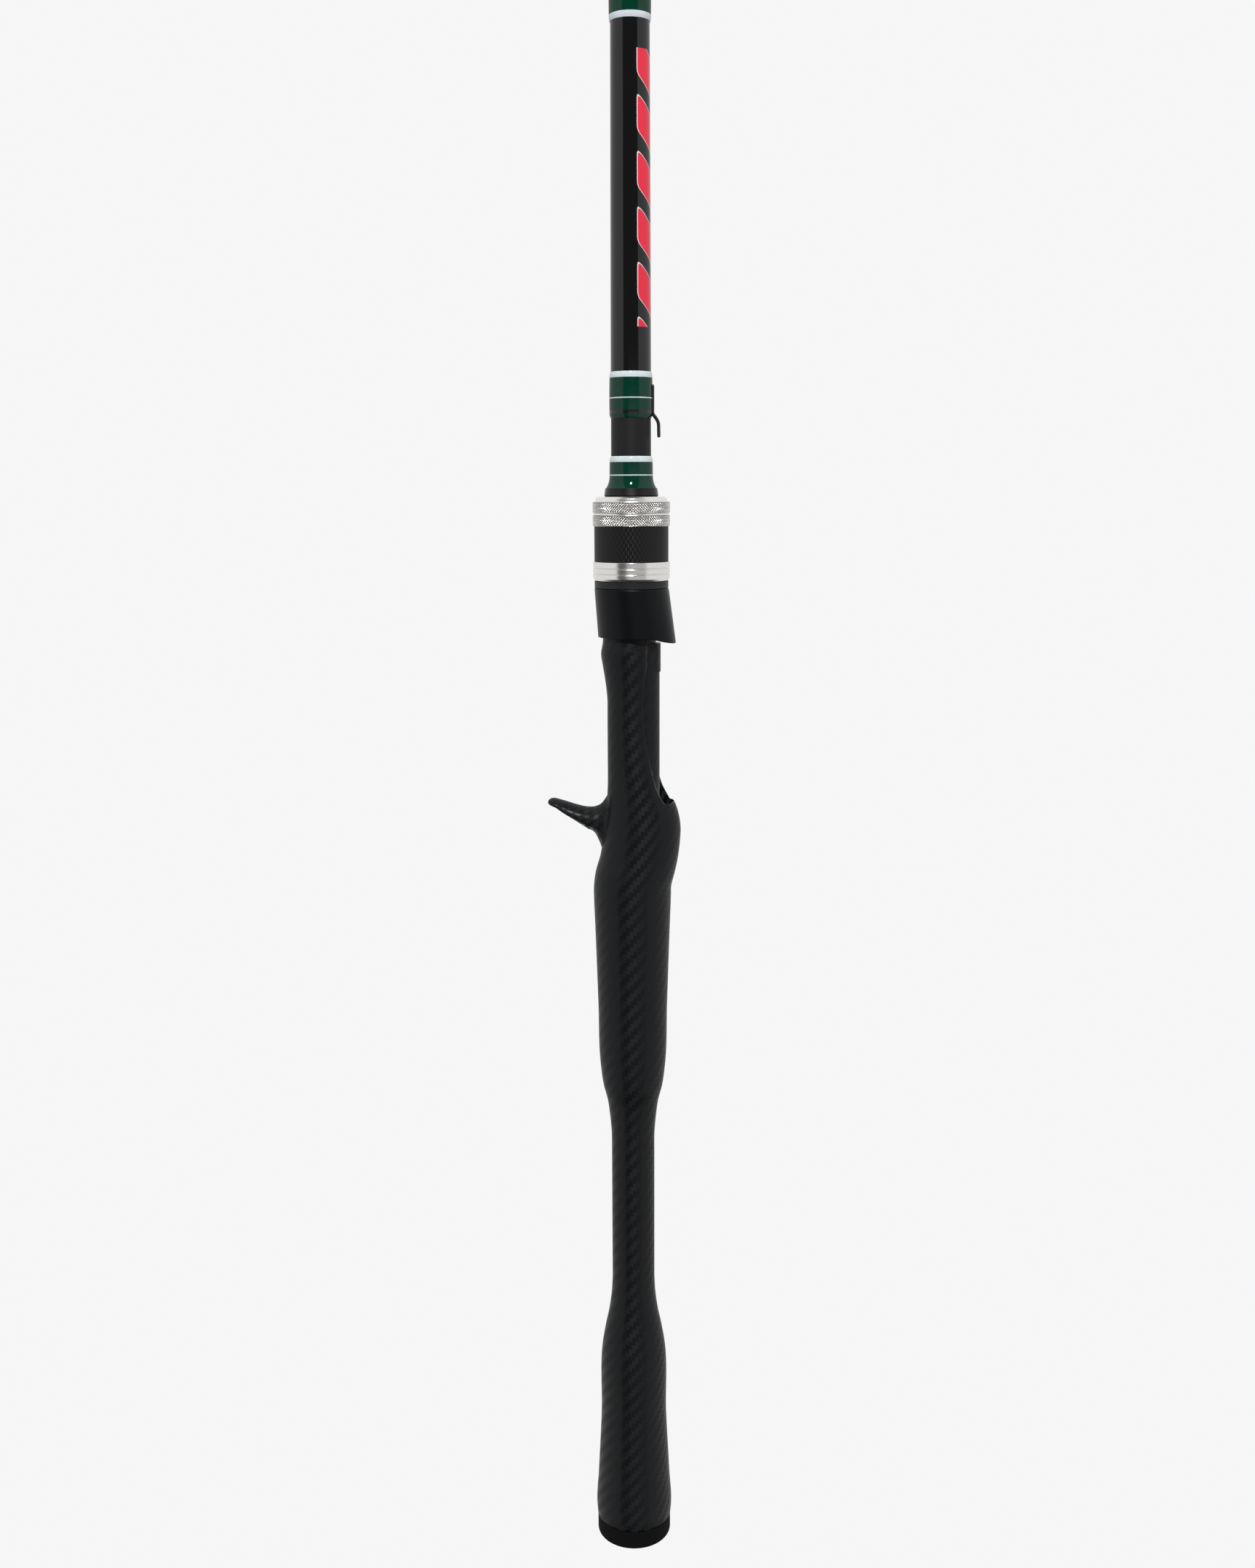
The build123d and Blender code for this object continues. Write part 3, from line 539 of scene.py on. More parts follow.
# %% Metals
def lathe_rings(finish, pitch, depth):
    """Fine turned rings: a sine of the height, broken up by noise."""
    wave = finish.math("SINE", finish.math("MULTIPLY", finish.z, 2 * np.pi / pitch))
    return finish.bump(finish.math("ADD", wave, finish.noise(700.0, 3.0)), depth)


aluminium = lathe_rings(Finish("aluminium", (0.84, 0.825, 0.8), 0.2, 1.0), 0.00035, 0.0000012)
aluminium.drive("Roughness", aluminium.blend(aluminium.noise(220.0, 3.0), 0.14, 0.28))
core_metal = lathe_rings(Finish("core_metal", (0.5, 0.5, 0.5), 0.35, 1.0), 0.0002, 0.000003)
spring_steel = lathe_rings(Finish("spring_steel", (0.5, 0.5, 0.52), 0.3, 1.0), 0.0002, 0.000002)

# %% Thread and clear coats
thread_pitch = 0.00024


def thread_finish(name, dark, light, coat=1.0):
    """Dyed thread under epoxy: a sine of one thread's pitch and noise, in the colour."""
    finish = Finish(name, dark, 0.5)
    wave = finish.math("SINE", finish.math("MULTIPLY", finish.z, 2 * np.pi / thread_pitch))
    tone = finish.math("ADD", finish.math("MULTIPLY", wave, 0.2), finish.noise(500.0, 3.0))
    finish.drive("Base Color", finish.colours(tone, dark, light))
    return finish.value("Specular IOR Level", 0.0).gloss_coat(coat, 0.02)


green_thread = thread_finish("green_thread", (0.0002, 0.018, 0.0095), (0.0005, 0.037, 0.0215), 0.6)
pale_thread = thread_finish("pale_thread", (0.44, 0.49, 0.52), (0.54, 0.59, 0.62))
clear_coat = Finish("clear_coat", (0.0035, 0.0035, 0.004), 0.5).gloss_coat(1.0, 0.015)
epoxy_black = Finish("epoxy_black", (0.005, 0.0055, 0.005), 0.3).gloss_coat(1.0, 0.02)
clear_coat.value("Specular IOR Level", 0.0)
epoxy_black.value("Specular IOR Level", 0.0)
print("thread and coat finishes made")

# %% [markdown]
# ## The grip
#
# The grip is one shell: butt swell, thin neck, palm swell, fixed hood and scooped saddle. At
# each height its outline is an oval that grows sideways into the hood. Above the hood's lip
# the outline is cut flat on the reel's side, and the round saddle stands in the cut. To keep
# the edges of the cut sharp, the grid's columns follow them: a fixed number of columns lies
# on the saddle, on the slot's wall, on the flat, round the rim and on the outside.

# %% Profile of the grip
seat_r = 8.43                   # the straight tube that the saddle stands in
palm_r = 13.53
butt_r = 13.95
neck_r = 7.7
z_neck, z_palm, z_swell = 104.0, 158.0, 240.0
z_lip = 281.6
hood_bulge = 7.12               # how far the fixed hood stands out on the reel's side
side_share = 0.2                # share of the bulge that also goes sideways
form_step = 5.5                 # height from one share to the next, upwards from z_swell
palm_share = [0.95, 0.99, 1.0, 0.86, 0.55, 0.37, 0.27, 0.14, 0.04, 0, 0, 0, 0, 0, 0]
bulge_share = [0, 0, 0.01, 0.3, 0.68, 0.9, 1.0, 0.955, 0.73, 0.46, 0.27, 0.14, 0.06, 0.02, 0]
grip_form = [
    (z_shell, butt_r - 0.3), (z_shell + 3.5, butt_r), (z_shell + 17, butt_r - 0.65),
    (z_shell + 41, butt_r - 1.85), (z_neck - 26, 11.3), (z_neck - 19.8, 10.2),
    (z_neck - 14.3, 9.05), (z_neck - 8.4, 8.2), (z_neck, neck_r), (z_neck + 4, neck_r),
    (z_palm - 4, neck_r), (z_palm, neck_r), (z_palm + 8, 8.3), (z_palm + 14, 9.1),
    (z_palm + 19.8, 10.55), (z_palm + 27.5, 11.55), (208, 12.24),
]
hood_form = [
    (z_swell + form_step * k, seat_r + share * (palm_r - seat_r))
    for k, share in enumerate(palm_share)
]
bead_form = [(324.5, 9.227), (328.5, 9.877), (333.0, 10.477), (336.5, 9.927), (z_shell_top, 9.677)]
section_form = np.array(grip_form + hood_form + bead_form)
bulge_form = np.array([(z_swell + form_step * k, share) for k, share in enumerate(bulge_share)])
# the scoop's flat: heights above the lip, and how far beyond seat_r it lies there
rim_rise = [0, 4.6, 11.2, 18.6, 25.6, 35.7, 49, 60]
rim_out = [3.9, 1.35, -0.5, -1.95, -2.95, -3.3, -1.95, -1.95]


def section_at(z):
    """Oval at height z: its centre, its half width towards the reel, and its half depth."""
    r = smooth_through(section_form[:, 0], section_form[:, 1], z)
    bulge = hood_bulge * smooth_through(bulge_form[:, 0], bulge_form[:, 1], z)
    bulge = np.where(z < z_swell, 0, np.clip(bulge, 0, None))
    return bulge / 2, r + bulge / 2, r + side_share * bulge


def cut_at(z):
    """How far out the flat of the scoop lies at height z."""
    return seat_r + smooth_through(rim_rise, rim_out, z - z_lip)


# %% Columns of the grip
saddle_r = 6.68
saddle_x = 2.9                  # the saddle's own axis stands this far off the rod's
pad_rise = 0.35                 # a thin pad at the saddle's upper end
z_pad, z_saddle_end = 326.7, 336.5
slot_depth = 21.0
slot_rise = 10.0                # the slot runs this far above the lip
rim_soft = 0.9
pad_half_angle = 0.55
seam_share = 0.05               # where no saddle stands, its columns keep this share of the flat
on_saddle, on_wall, on_flat, on_rim, on_back = 14, 5, 8, 7, 54


def spread(first, last, count, end=True):
    """Array (rows, count) running from first to last in each row."""
    t = np.linspace(0, 1, count, endpoint=end)
    first, last = np.broadcast_arrays(np.asarray(first, float), np.asarray(last, float))
    return first[:, None] * (1 - t) + last[:, None] * t


def mirrored(x, y, z):
    """Full rings from half rings on the +Y side: the half, then its mirror image."""
    x = np.concatenate([x, x[:, -2:0:-1]], axis=1)
    y = np.concatenate([y, -y[:, -2:0:-1]], axis=1)
    z = np.concatenate([z, z[:, -2:0:-1]], axis=1)
    return np.stack([x, y, z], axis=-1)


def scoop_half(z, slot, pad=0.0, saddle=True):
    """Half outline in the scoop, as x and y arrays of shape (heights, columns).

    Saddle: a circle of radius saddle_r about (saddle_x, 0), raised by the pad in front. Wall:
    straight out from it at the slot's half width. Flat: x = cut. Rim: a quarter bend, with
    2 t (1 - t) of the corner. Back: the oval from the cut round to -X.
    """
    centre, half_x, half_y = section_at(z)
    cut = cut_at(z)
    corner = np.arccos(np.clip((cut - centre) / half_x, -1, 1))
    corner_y = half_y * np.sin(corner)
    meet = np.sqrt(np.clip(saddle_r**2 - (cut - saddle_x) ** 2, 0, None))
    foot_y = np.where(slot, slot_y, meet if saddle else 0 * meet)
    arc = spread(0 * z, np.arcsin(np.clip(foot_y / saddle_r, 0, 1)), on_saddle, end=False)
    padded = saddle_r + pad * np.clip(1 - (arc / pad_half_angle) ** 4, 0, 1)
    x_saddle = saddle_x + padded * np.cos(arc)
    y_saddle = padded * np.sin(arc)
    if not saddle:
        x_saddle = spread(cut, cut, on_saddle, end=False)
        y_saddle = spread(0 * z, seam_share * corner_y, on_saddle, end=False)
        foot_y = seam_share * corner_y
    wall_x = saddle_x + np.sqrt(np.clip(saddle_r**2 - foot_y**2, 0, None)) if saddle else cut
    x_wall, y_wall = spread(wall_x, cut, on_wall), spread(foot_y, foot_y, on_wall)
    soft = np.minimum(rim_soft, 0.4 * (corner_y - foot_y))
    x_flat = spread(cut, cut, on_flat)
    y_flat = spread(foot_y, corner_y - soft, on_flat)
    turn_in = soft / half_x
    back_start = np.minimum(corner + turn_in, np.pi)
    end_x = centre + half_x * np.cos(back_start)
    end_y = half_y * np.sin(back_start)
    t = np.linspace(0, 1, on_rim)[None, :]
    bend = [(1 - t) ** 2, 2 * t * (1 - t), t**2]
    x_rim = cut[:, None] * (bend[0] + bend[1]) + end_x[:, None] * bend[2]
    y_rim = (corner_y - soft)[:, None] * bend[0] + corner_y[:, None] * bend[1] + end_y[:, None] * bend[2]
    back_angle = spread(back_start, np.pi + 0 * z, on_back)
    x_back = centre[:, None] + half_x[:, None] * np.cos(back_angle)
    y_back = half_y[:, None] * np.sin(back_angle)
    x = np.concatenate([x_saddle, x_wall, x_flat, x_rim, x_back], axis=1)
    y = np.concatenate([y_saddle, y_wall, y_flat, y_rim, y_back], axis=1)
    return x, y


lip_centre, lip_half_x, lip_half_y = section_at(np.array([z_lip]))
lip_corner = float(np.arccos((cut_at(np.array([z_lip]))[0] - lip_centre[0]) / lip_half_x[0]))
lip_soft = lip_corner + rim_soft * 0.4 / lip_half_x[0]
pocket_top = 14.18              # how far out the arch of the slot's mouth reaches
bore_r = 5.9
bore_depth = 14.0
slot_y = min(5.6, float(lip_half_y[0] * np.sin(lip_corner)) - 0.6)
print("slot", round(2 * slot_y, 2), "mm wide under the lip")

# %% Build the grip
front_count = on_saddle + on_wall + on_flat + on_rim
x_lip, y_lip = scoop_half(np.array([z_lip]), True)
oval_angle = np.concatenate([
    np.linspace(0, lip_soft, front_count, endpoint=False),
    np.linspace(lip_soft, np.pi, on_back),
])


def full_half(z):
    """Half oval below the lip, its columns spread like the lip's."""
    centre, half_x, half_y = section_at(z)
    x = centre[:, None] + half_x[:, None] * np.cos(oval_angle)
    return x, half_y[:, None] * np.sin(oval_angle)


def ring(x, y, z):
    """One full ring from half outlines at height z, a number or a row."""
    return mirrored(x, y, np.broadcast_to(z, x.shape).astype(float))


lower_z = np.concatenate([
    [z_shell, z_shell + 0.05], np.linspace(z_shell + 0.4, z_shell + 12, 16),
    np.linspace(z_shell + 14, z_lip - 0.8, 190),
])
x_low, y_low = full_half(lower_z)
foot_bevel = 0.3
edge_in = np.clip(foot_bevel - (lower_z - z_shell), 0, foot_bevel)[:, None] / butt_r
rings = [ring(x_low * (1 - edge_in), y_low * (1 - edge_in), lower_z[:, None])]

# the hood's lip: rounded outside, then across to the slot's arched mouth, and down into it
x_oval, y_oval = full_half(np.array([z_lip]))
ceiling_x, ceiling_y = x_lip.copy(), y_lip.copy()
slot_columns = on_saddle + on_wall
lip_cut = cut_at(np.array([z_lip]))[0]
arch = np.linspace(0, 1, slot_columns)
ceiling_x[:, :slot_columns] = lip_cut + (pocket_top - lip_cut) * np.sqrt(1 - arch**4)
ceiling_y[:, :slot_columns] = slot_y * arch
deep = np.full(x_lip.shape, z_lip)
deep[:, :slot_columns] = z_lip - slot_depth
for share, drop in ((0.08, 0.25), (0.25, 0.06), (0.45, 0.0), (1.0, 0.0)):
    rings.append(ring(
        x_oval * (1 - share) + ceiling_x * share,
        y_oval * (1 - share) + ceiling_y * share,
        z_lip - drop,
    ))
rings.append(ring(ceiling_x, ceiling_y, deep))
rings.append(ring(x_lip, y_lip, deep))
scoop_steps = [
    (np.linspace(z_lip, z_lip + slot_rise, 22), True, 0.0, True),
    (np.linspace(z_lip + slot_rise, z_pad, 46), False, 0.0, True),
    (np.linspace(z_pad + 0.15, z_saddle_end, 26), False, pad_rise, True),
    (np.linspace(z_saddle_end, z_shell_top, 8), False, 0.0, False),
]
for z, slot, pad, saddle in scoop_steps:
    x, y = scoop_half(z, slot, pad, saddle)
    rings.append(ring(x, y, z[:, None]))

# the upper end closes onto the bore, which ends a little way down
bore_angle = np.arctan2(y[-1:], x[-1:])
bore_x, bore_y = bore_r * np.cos(bore_angle), bore_r * np.sin(bore_angle)
for z in (z_shell_top, z_shell_top - bore_depth):
    rings.append(ring(bore_x, bore_y, z))
rings.append(ring(0 * bore_x, 0 * bore_y, z_shell_top - bore_depth))
grip_points = np.concatenate(rings)
foot = grip_points[:1].copy()
foot[..., :2] = 0
grip_points = np.concatenate([foot, grip_points])
grip = skin("grip_shell", grip_points, sharp=38.0)
woven_carbon.put_on(grip)

# %% [markdown]
# ### Trigger
#
# The trigger grows out of the shell like a thorn. Its cross-section is round above and runs
# to a keel below, so a ridge shows along each flank. Towards the root the section grows fast,
# which makes the soft hollow where it meets the palm. At each distance from the rod's axis
# the tables give the top, the bottom, how far down the ridge runs, and the half width there.

# %% Trigger
trigger_reach = 29.9
trigger_tip_z = z_lip - 0.1
trigger_out = [3.5, 5.4, 7.2, 8.6, 10.6, 12.9, 16.0, 20.0, 23.8, 26.8]
trigger_upper = [8.0, 7.0, 5.0, 2.2, -0.8, -2.2, -2.5, -1.8, -0.75, 0.0]
trigger_lower = [-36.0, -34.0, -30.0, -26.0, -17.9, -12.3, -10.3, -7.8, -5.4, -3.3]
ridge_share = [0.4, 0.42, 0.45, 0.49, 0.54, 0.58, 0.61, 0.65, 0.69, 0.69]
ridge_wide = [8.15, 7.4, 6.3, 5.5, 5.15, 5.0, 4.8, 4.6, 4.3, 3.7]
ridge_power = 1.5               # under 2, so the flank's widest line is a soft ridge
keel_power = 1.1
tip_round = 3.1
tip_lift = 0.9                  # the tip's middle rises this far as it closes

run = np.linspace(0, 1, 150)
out = trigger_out[0] + (trigger_reach - trigger_out[0]) * (1 - (1 - run) ** 1.35)
before_tip = np.minimum(out, trigger_reach - tip_round)
toward_tip = np.clip((out - before_tip) / tip_round, 0, 1)
dome = np.sqrt(1 - toward_tip**2)[:, None]
upper, lower, share, wide = (
    smooth_through(trigger_out, values, before_tip)[:, None]
    for values in (trigger_upper, trigger_lower, ridge_share, ridge_wide)
)
above = share * (upper - lower)
below = (upper - lower) - above
ridge_z = trigger_tip_z + upper - above + tip_lift * toward_tip[:, None]
angle = np.linspace(0, 2 * np.pi, 160, endpoint=False)[None, :]
level = np.sin(angle)
under = np.sign(np.cos(angle)) * (1 - np.abs(level) ** ridge_power) ** (1 / keel_power)
width = np.where(level >= 0, np.cos(angle), under)
height = np.where(level >= 0, above, below) * dome * level
trigger_points = np.stack(np.broadcast_arrays(
    -out[:, None], wide * dome * width, ridge_z + height), axis=-1)
root_cap = np.broadcast_to(trigger_points[:1].mean(axis=1, keepdims=True), trigger_points[:1].shape)
trigger = skin("trigger", np.concatenate([root_cap, trigger_points]), sharp=60.0)
woven_carbon.put_on(trigger)
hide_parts("handle_shell")

# %% [markdown]
# ## Butt cap
#
# A plain rubber cap with a rounded foot. It is a turned shape: a closed outline, rounded at
# its corners, carried once round the rod's axis.

# %% Butt cap
cap_r = radius_of("butt_cap")
cap_top = high_of("butt_cap")
spigot_r = cap_r - 1.4
spigot_bore = cap_r - 3.0
cap_end = z_shell - 0.05
cap_floor = z_shell - 1.5
butt_cap = turned(
    "rubber_cap",
    [(0.01, 0, 0), (cap_r, 0, 1.2), (cap_r, cap_end, 0.15), (spigot_r, cap_end, 0),
     (spigot_r, cap_top), (spigot_bore, cap_top), (spigot_bore, cap_floor), (0.01, cap_floor, 0)],
    steps=8,
)
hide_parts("butt_cap")
black_rubber.put_on(butt_cap)

# %% [markdown]
# ## The clamping nut
#
# The nut is aluminium with a carbon sleeve. Its two grip bands carry a diamond knurl: two
# families of V grooves cross at an angle and leave small blunt pyramids between them. The
# nearer groove sets the height of each point. The grooves' shade is painted into the colour:
# the metal is darker the deeper it lies, which the finish reads from the distance to the axis.

# %% Knurl
knurl_count = 88
knurl_depth = 0.38
per_diamond = 8                 # grid columns and rows across one diamond
deepest = 1.08                  # anything sunk further is the plain end of a band
# the knurl's bare metal, then a painted shade for the bottoms of its grooves
peak_metal, groove_shade_colour = (0.92, 0.905, 0.88), (0.24, 0.235, 0.23)

knurled_metal = Finish("knurled_metal", roughness=0.3, metallic=1.0)
below_rim = knurled_metal.math("SUBTRACT", nut_r * MM, knurled_metal.radius())
sunk = knurled_metal.math("DIVIDE", below_rim, knurl_depth * MM)
in_knurl = knurled_metal.math("LESS_THAN", sunk, deepest)
groove = knurled_metal.math("MULTIPLY", knurled_metal.math("SMOOTH_MIN", sunk, 1.0, 0.1), in_knurl)
# painted shade: the colour runs from bare metal at the knurl's tops to the dark groove colour at depth
knurled_metal.drive("Base Color", knurled_metal.colours(groove, peak_metal, groove_shade_colour))


def knurl(low, high):
    """Relief of a diamond knurl between two heights, fading out at both.

    u is the place around in grooves and v the height in grooves. The wave w(s) = 1 - |2 frac(s)
    - 1| is 0 in a groove and 1 midway between two. The height is 1.5 times the smaller of
    w(u + v) and w(u - v), and stops at 1, which leaves the flat tops.
    """
    def relief(angle, z):
        u = angle * knurl_count / (2 * np.pi)
        v = (z - low) * knurl_count / (2 * np.pi * nut_r)
        first = 1 - np.abs(2 * ((u + v) % 1) - 1)
        second = 1 - np.abs(2 * ((u - v) % 1) - 1)
        height = np.minimum(np.minimum(first, second) * 1.5, 1)
        inside = np.clip((z - low) / 0.1, 0, 1) * np.clip((high - z) / 0.1, 0, 1)
        return knurl_depth * (height - 1) * inside
    return relief


def knurled_band(name, below, low, high, above, node):
    """Turned band whose straight outside, from low to high, is knurled."""
    rows = int((high - low) * knurl_count / (2 * np.pi * nut_r) * per_diamond)
    outline = np.concatenate([
        rounded(below, 0.1, 3), np.stack([np.full(rows, nut_r), np.linspace(low, high, rows)], 1),
        rounded(above, 0.1, 3),
    ])
    columns = knurl_count * per_diamond
    angle = np.linspace(0, 2 * np.pi, columns, endpoint=False)[None, :]
    z = np.repeat(outline[:, 1:], columns, axis=1)
    on_band = np.abs(outline[:, :1] - nut_r) < 1e-6
    r = outline[:, :1] + np.where(on_band, knurl(low, high)(angle, z), 0)
    points = np.stack([r * np.cos(angle), r * np.sin(angle), z], axis=-1)
    band = skin(name, points, "nut", along=True, sharp=50.0)
    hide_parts(node)
    knurled_metal.put_on(band)


core_r = 10.61
mouth_r = 9.81
neck_of_nut = nut_r - 0.45      # the plain groove between the two bands
crown_r = nut_r - 1.0           # the polished ring on top
crown_step = z_nut_top - 1.6
knurled_band(
    "knurled_band",
    [(core_r, z_band), (nut_r - 0.3, z_band), (nut_r - 0.02, z_band + 0.2)],
    z_band + 0.25, z_crown - 0.75,
    [(nut_r - 0.05, z_crown - 0.7), (neck_of_nut, z_crown - 0.55),
     (neck_of_nut, z_crown), (core_r, z_crown)],
    "knurled_nut",
)
knurled_band(
    "knurled_crown",
    [(core_r, z_crown), (nut_r - 0.3, z_crown), (nut_r - 0.02, z_crown + 0.2)],
    z_crown + 0.25, crown_step - 0.2,
    [(nut_r - 0.1, crown_step - 0.1), (crown_r, crown_step), (crown_r, z_nut_top - 0.6),
     (core_r + 0.5, z_nut_top), (mouth_r, z_nut_top), (mouth_r, z_nut_top - 1.2),
     (core_r, z_nut_top - 1.3)],
    "nut_crown",
)

# %% Collar and sleeve
collar_r = radius_of("nut_collar")
collar_bore = 11.5
collar_floor = z_sleeve - 1.0
groove_rise = (2.2, 4.1)        # heights of the two turned grooves above the collar's foot
groove_r = collar_r - 0.3
collar_corners = [
    (core_r, collar_floor, 0), (collar_bore, collar_floor, 0), (collar_bore, z_collar, 0),
    (collar_r - 0.7, z_collar, 0.1), (collar_r, z_collar + 0.9, 0.5),
]
for groove_z in (z_collar + rise for rise in groove_rise):
    collar_corners += [
        (collar_r, groove_z, 0.12), (groove_r, groove_z + 0.12, 0.1),
        (groove_r, groove_z + 0.34, 0.1), (collar_r, groove_z + 0.46, 0.12),
    ]
collar_corners += [(collar_r, z_sleeve, 0.15), (core_r, z_sleeve, 0)]
nut_collar = turned("grooved_collar", collar_corners, "nut", 192)
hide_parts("nut_collar")
aluminium.put_on(nut_collar)
nut_sleeve = turned(
    "woven_sleeve", [(core_r, z_sleeve), (sleeve_r, z_sleeve), (sleeve_r, z_band), (core_r, z_band)],
    "nut", 192, 0.08,
)
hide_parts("nut_sleeve")
carbon_sleeve.put_on(nut_sleeve)

# %% [markdown]
# ## The moving hood
#
# The hood is a cup that starts as an oval at its rim and ends as a circle under the nut. Its
# rim is square on the trigger's side and dips to a lip over the reel foot. Each ring of the
# grid is an ellipse; the lower end of every column is moved up to the rim's own height.

# %% Moving hood
hood_lo, hood_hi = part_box("moving_hood")
hood_foot = hood_hi.x / MM
hood_left = 11.43
lip_z = hood_lo.z / MM
rim_z = 338.6
hood_top_r = 12.6
foot_wall = 1.1
inner_r = 10.3
cavity_r = 10.83
cavity_top = rim_z + 10.9
slope_start = 8.5               # the rim is level up to here, then slopes to the lip
lip_land = 0.4
foot_room = 1.8
angle = np.linspace(0, 2 * np.pi, 160, endpoint=False)[None, :]


def hood_ring(share, inset=0.0):
    """Ellipse part of the way from the rim, 0, to the top, 1, in x and y."""
    half_x = ((hood_foot + hood_left) / 2) * (1 - share) + hood_top_r * share - inset
    centre = (hood_foot - hood_left) / 2 * (1 - share)
    half_y = (hood_left + 0.3) * (1 - share) + hood_top_r * share - inset
    return centre + half_x * np.cos(angle), half_y * np.sin(angle)


def rim_height(x):
    """Height of the rim above a point: level, then sloping down to the lip."""
    slope = (rim_z - lip_z - lip_land) / (hood_foot - foot_wall - slope_start)
    return rim_z - np.clip(x - slope_start, 0, None) * slope


def cavity_ring(share):
    """Ellipse of the pocket, from its wide foot end, 0, to its upper end, 1."""
    reach = (hood_foot - foot_wall) * (1 - share) + (cavity_r + foot_room) * share
    half_x = (reach + cavity_r) / 2
    return reach - half_x + half_x * np.cos(angle), (cavity_r + 0.05) * np.sin(angle) + 0 * share


outer_share = np.linspace(0, 1, 24)[:, None]
x, y = hood_ring(outer_share)
z = rim_height(x[:1]) * (1 - outer_share) + z_hood_top * outer_share
edge = 0.55
outside = np.stack([x, y, np.broadcast_to(z, x.shape)], -1)
hood_rings = [outside[outside[:, 0, 2] < z_hood_top - edge]]
t = np.linspace(0, np.pi / 2, 6)[1:, None]
x, y = hood_ring(1.0, edge * (1 - np.cos(t)))
hood_rings.append(np.stack([x, y, z_hood_top - edge + edge * np.sin(t) + 0 * x], -1))
bore_x, bore_y = inner_r * np.cos(angle), inner_r * np.sin(angle)
hood_rings.append(np.stack([bore_x, bore_y, 0 * bore_x + z_hood_top], -1))
hood_rings.append(np.stack([bore_x, bore_y, 0 * bore_x + cavity_top], -1))
inner_share = np.linspace(1, 0, 12)[:, None]
x, y = cavity_ring(inner_share)
z = rim_height(x[-1:]) * (1 - inner_share) + cavity_top * inner_share
hood_rings.append(np.stack([x, y, np.broadcast_to(z, x.shape)], -1))
hood_points = np.concatenate(hood_rings)
moving_hood = skin("hood_cup", hood_points, "hood", along=True, sharp=40.0)
soften = moving_hood.modifiers.new("soften", "BEVEL")
soften.width = 0.00022
soften.segments = 3
soften.limit_method = "ANGLE"
soften.angle_limit = np.radians(50)
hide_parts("moving_hood")
satin_black.put_on(moving_hood)

# %% [markdown]
# ## Thread wraps
#
# A wrap is thread wound tightly round the rod and soaked in epoxy. The epoxy pools into a
# smooth skin that runs out at its ends, with the faint hills of the turns under it. The seat
# wrap flares at its foot, where it runs up onto the winding check.

# %% Wraps
blank_lo, blank_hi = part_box("blank")
blank_tip_r = 0.95
blank_butt_r = blank_hi.y / MM
run_out_length = 1.6
flare_length, flare_power = 4.4, 2.4
hill_pitch, hill_height = 0.48, 0.006
wrap_columns = 128


def blank_r(z):
    """Outside radius of the blank: a straight taper between its two ends."""
    share = (z - blank_lo.z / MM) / ((blank_hi.z - blank_lo.z) / MM)
    return blank_butt_r * (1 - share) + blank_tip_r * share


def wrap(name, node, finish, low, high, build, ends, slot, crown=0.06, flare=0.0):
    """Sleeve on the blank whose outside swells a little and runs out at the ends given.

    Its radius is the blank's, plus the build and half a sine of `crown`, each less the share
    that `ends` takes away at the foot and the top. The flare adds (1 - rise / length)^power.
    """
    share = np.linspace(0, 1, max(8, int((high - low) / 0.25)))
    z = low + share * (high - low)
    swell = crown * np.sin(np.pi * share)
    run_out = 1.0 - ends[0] * np.clip(1 - (z - low) / run_out_length, 0, 1) ** 2
    run_out = run_out - ends[1] * np.clip(1 - (high - z) / run_out_length, 0, 1) ** 2
    r = blank_r(z) + (build + swell) * run_out + 0.02
    r = r + flare * np.clip(1 - (z - low) / flare_length, 0, 1) ** flare_power
    r = np.concatenate([[blank_r(low) - 0.05], r, [blank_r(high) - 0.05]])
    z = np.concatenate([[low], z, [high]])
    angle = np.linspace(0, 2 * np.pi, wrap_columns, endpoint=False)
    turns = hill_height * np.sin(2 * np.pi * z / hill_pitch)
    turns[[0, -1]] = 0
    full = np.repeat((r + turns)[:, None], wrap_columns, axis=1)
    level = np.repeat(z[:, None], wrap_columns, axis=1)
    points = np.stack([full * np.cos(angle), full * np.sin(angle), level], axis=-1)
    piece = skin(name, points, along=True, sharp=60.0)
    finish.put_on(piece)
    if node:
        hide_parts(node)


# %% The three sets of wraps
wrap_build = 0.5
line_half = 0.25
line_out = 0.05
band_out = 0.02


def wrap_set(place, lower_ends, upper_ends, flare=0.0):
    """Green run, its pale line and its white band, each on the height of its own node."""
    green, trim = f"{place}_wrap_green", f"{place}_wrap_trim"
    low, high = low_of(green), high_of(green)
    wrap(f"{place}_thread", green, green_thread, low, high, wrap_build, lower_ends, "green_thread",
         flare=flare)
    band = (high, high_of(trim)) if high_of(trim) > high + 0.5 else (low_of(trim), low)
    middle = (low + high) / 2
    wrap(f"{place}_band", trim, pale_thread, *band, wrap_build + band_out, upper_ends,
         "pale_thread", 0.02)
    wrap(f"{place}_line", None, pale_thread, middle - line_half, middle + line_half,
         wrap_build + line_out, (0, 0), "pale_thread", 0.03)


wrap_set("seat", (0, 0), (0, 0.75), 1.25)
wrap_set("keeper", (0.9, 0), (0, 0.5))
wrap_set("fore", (0, 0.9), (0.5, 0))
keeper_low = low_of("keeper_wrap_green")
wrap("keeper_epoxy_end", None, epoxy_black, keeper_low + 0.4, keeper_low + 2.5, wrap_build + 0.045,
     (0.95, 0), "clear_coat", 0.02)

# %% [markdown]
# ### Label zone
#
# Between the keeper and the fore wrap the blank is coated with gloss black. On the reel's
# side it carries a decoration: five plain slanted stripes, red with a thin pale edge. They
# are worked out in the material from the angle and the height, so no letter or mark is drawn.

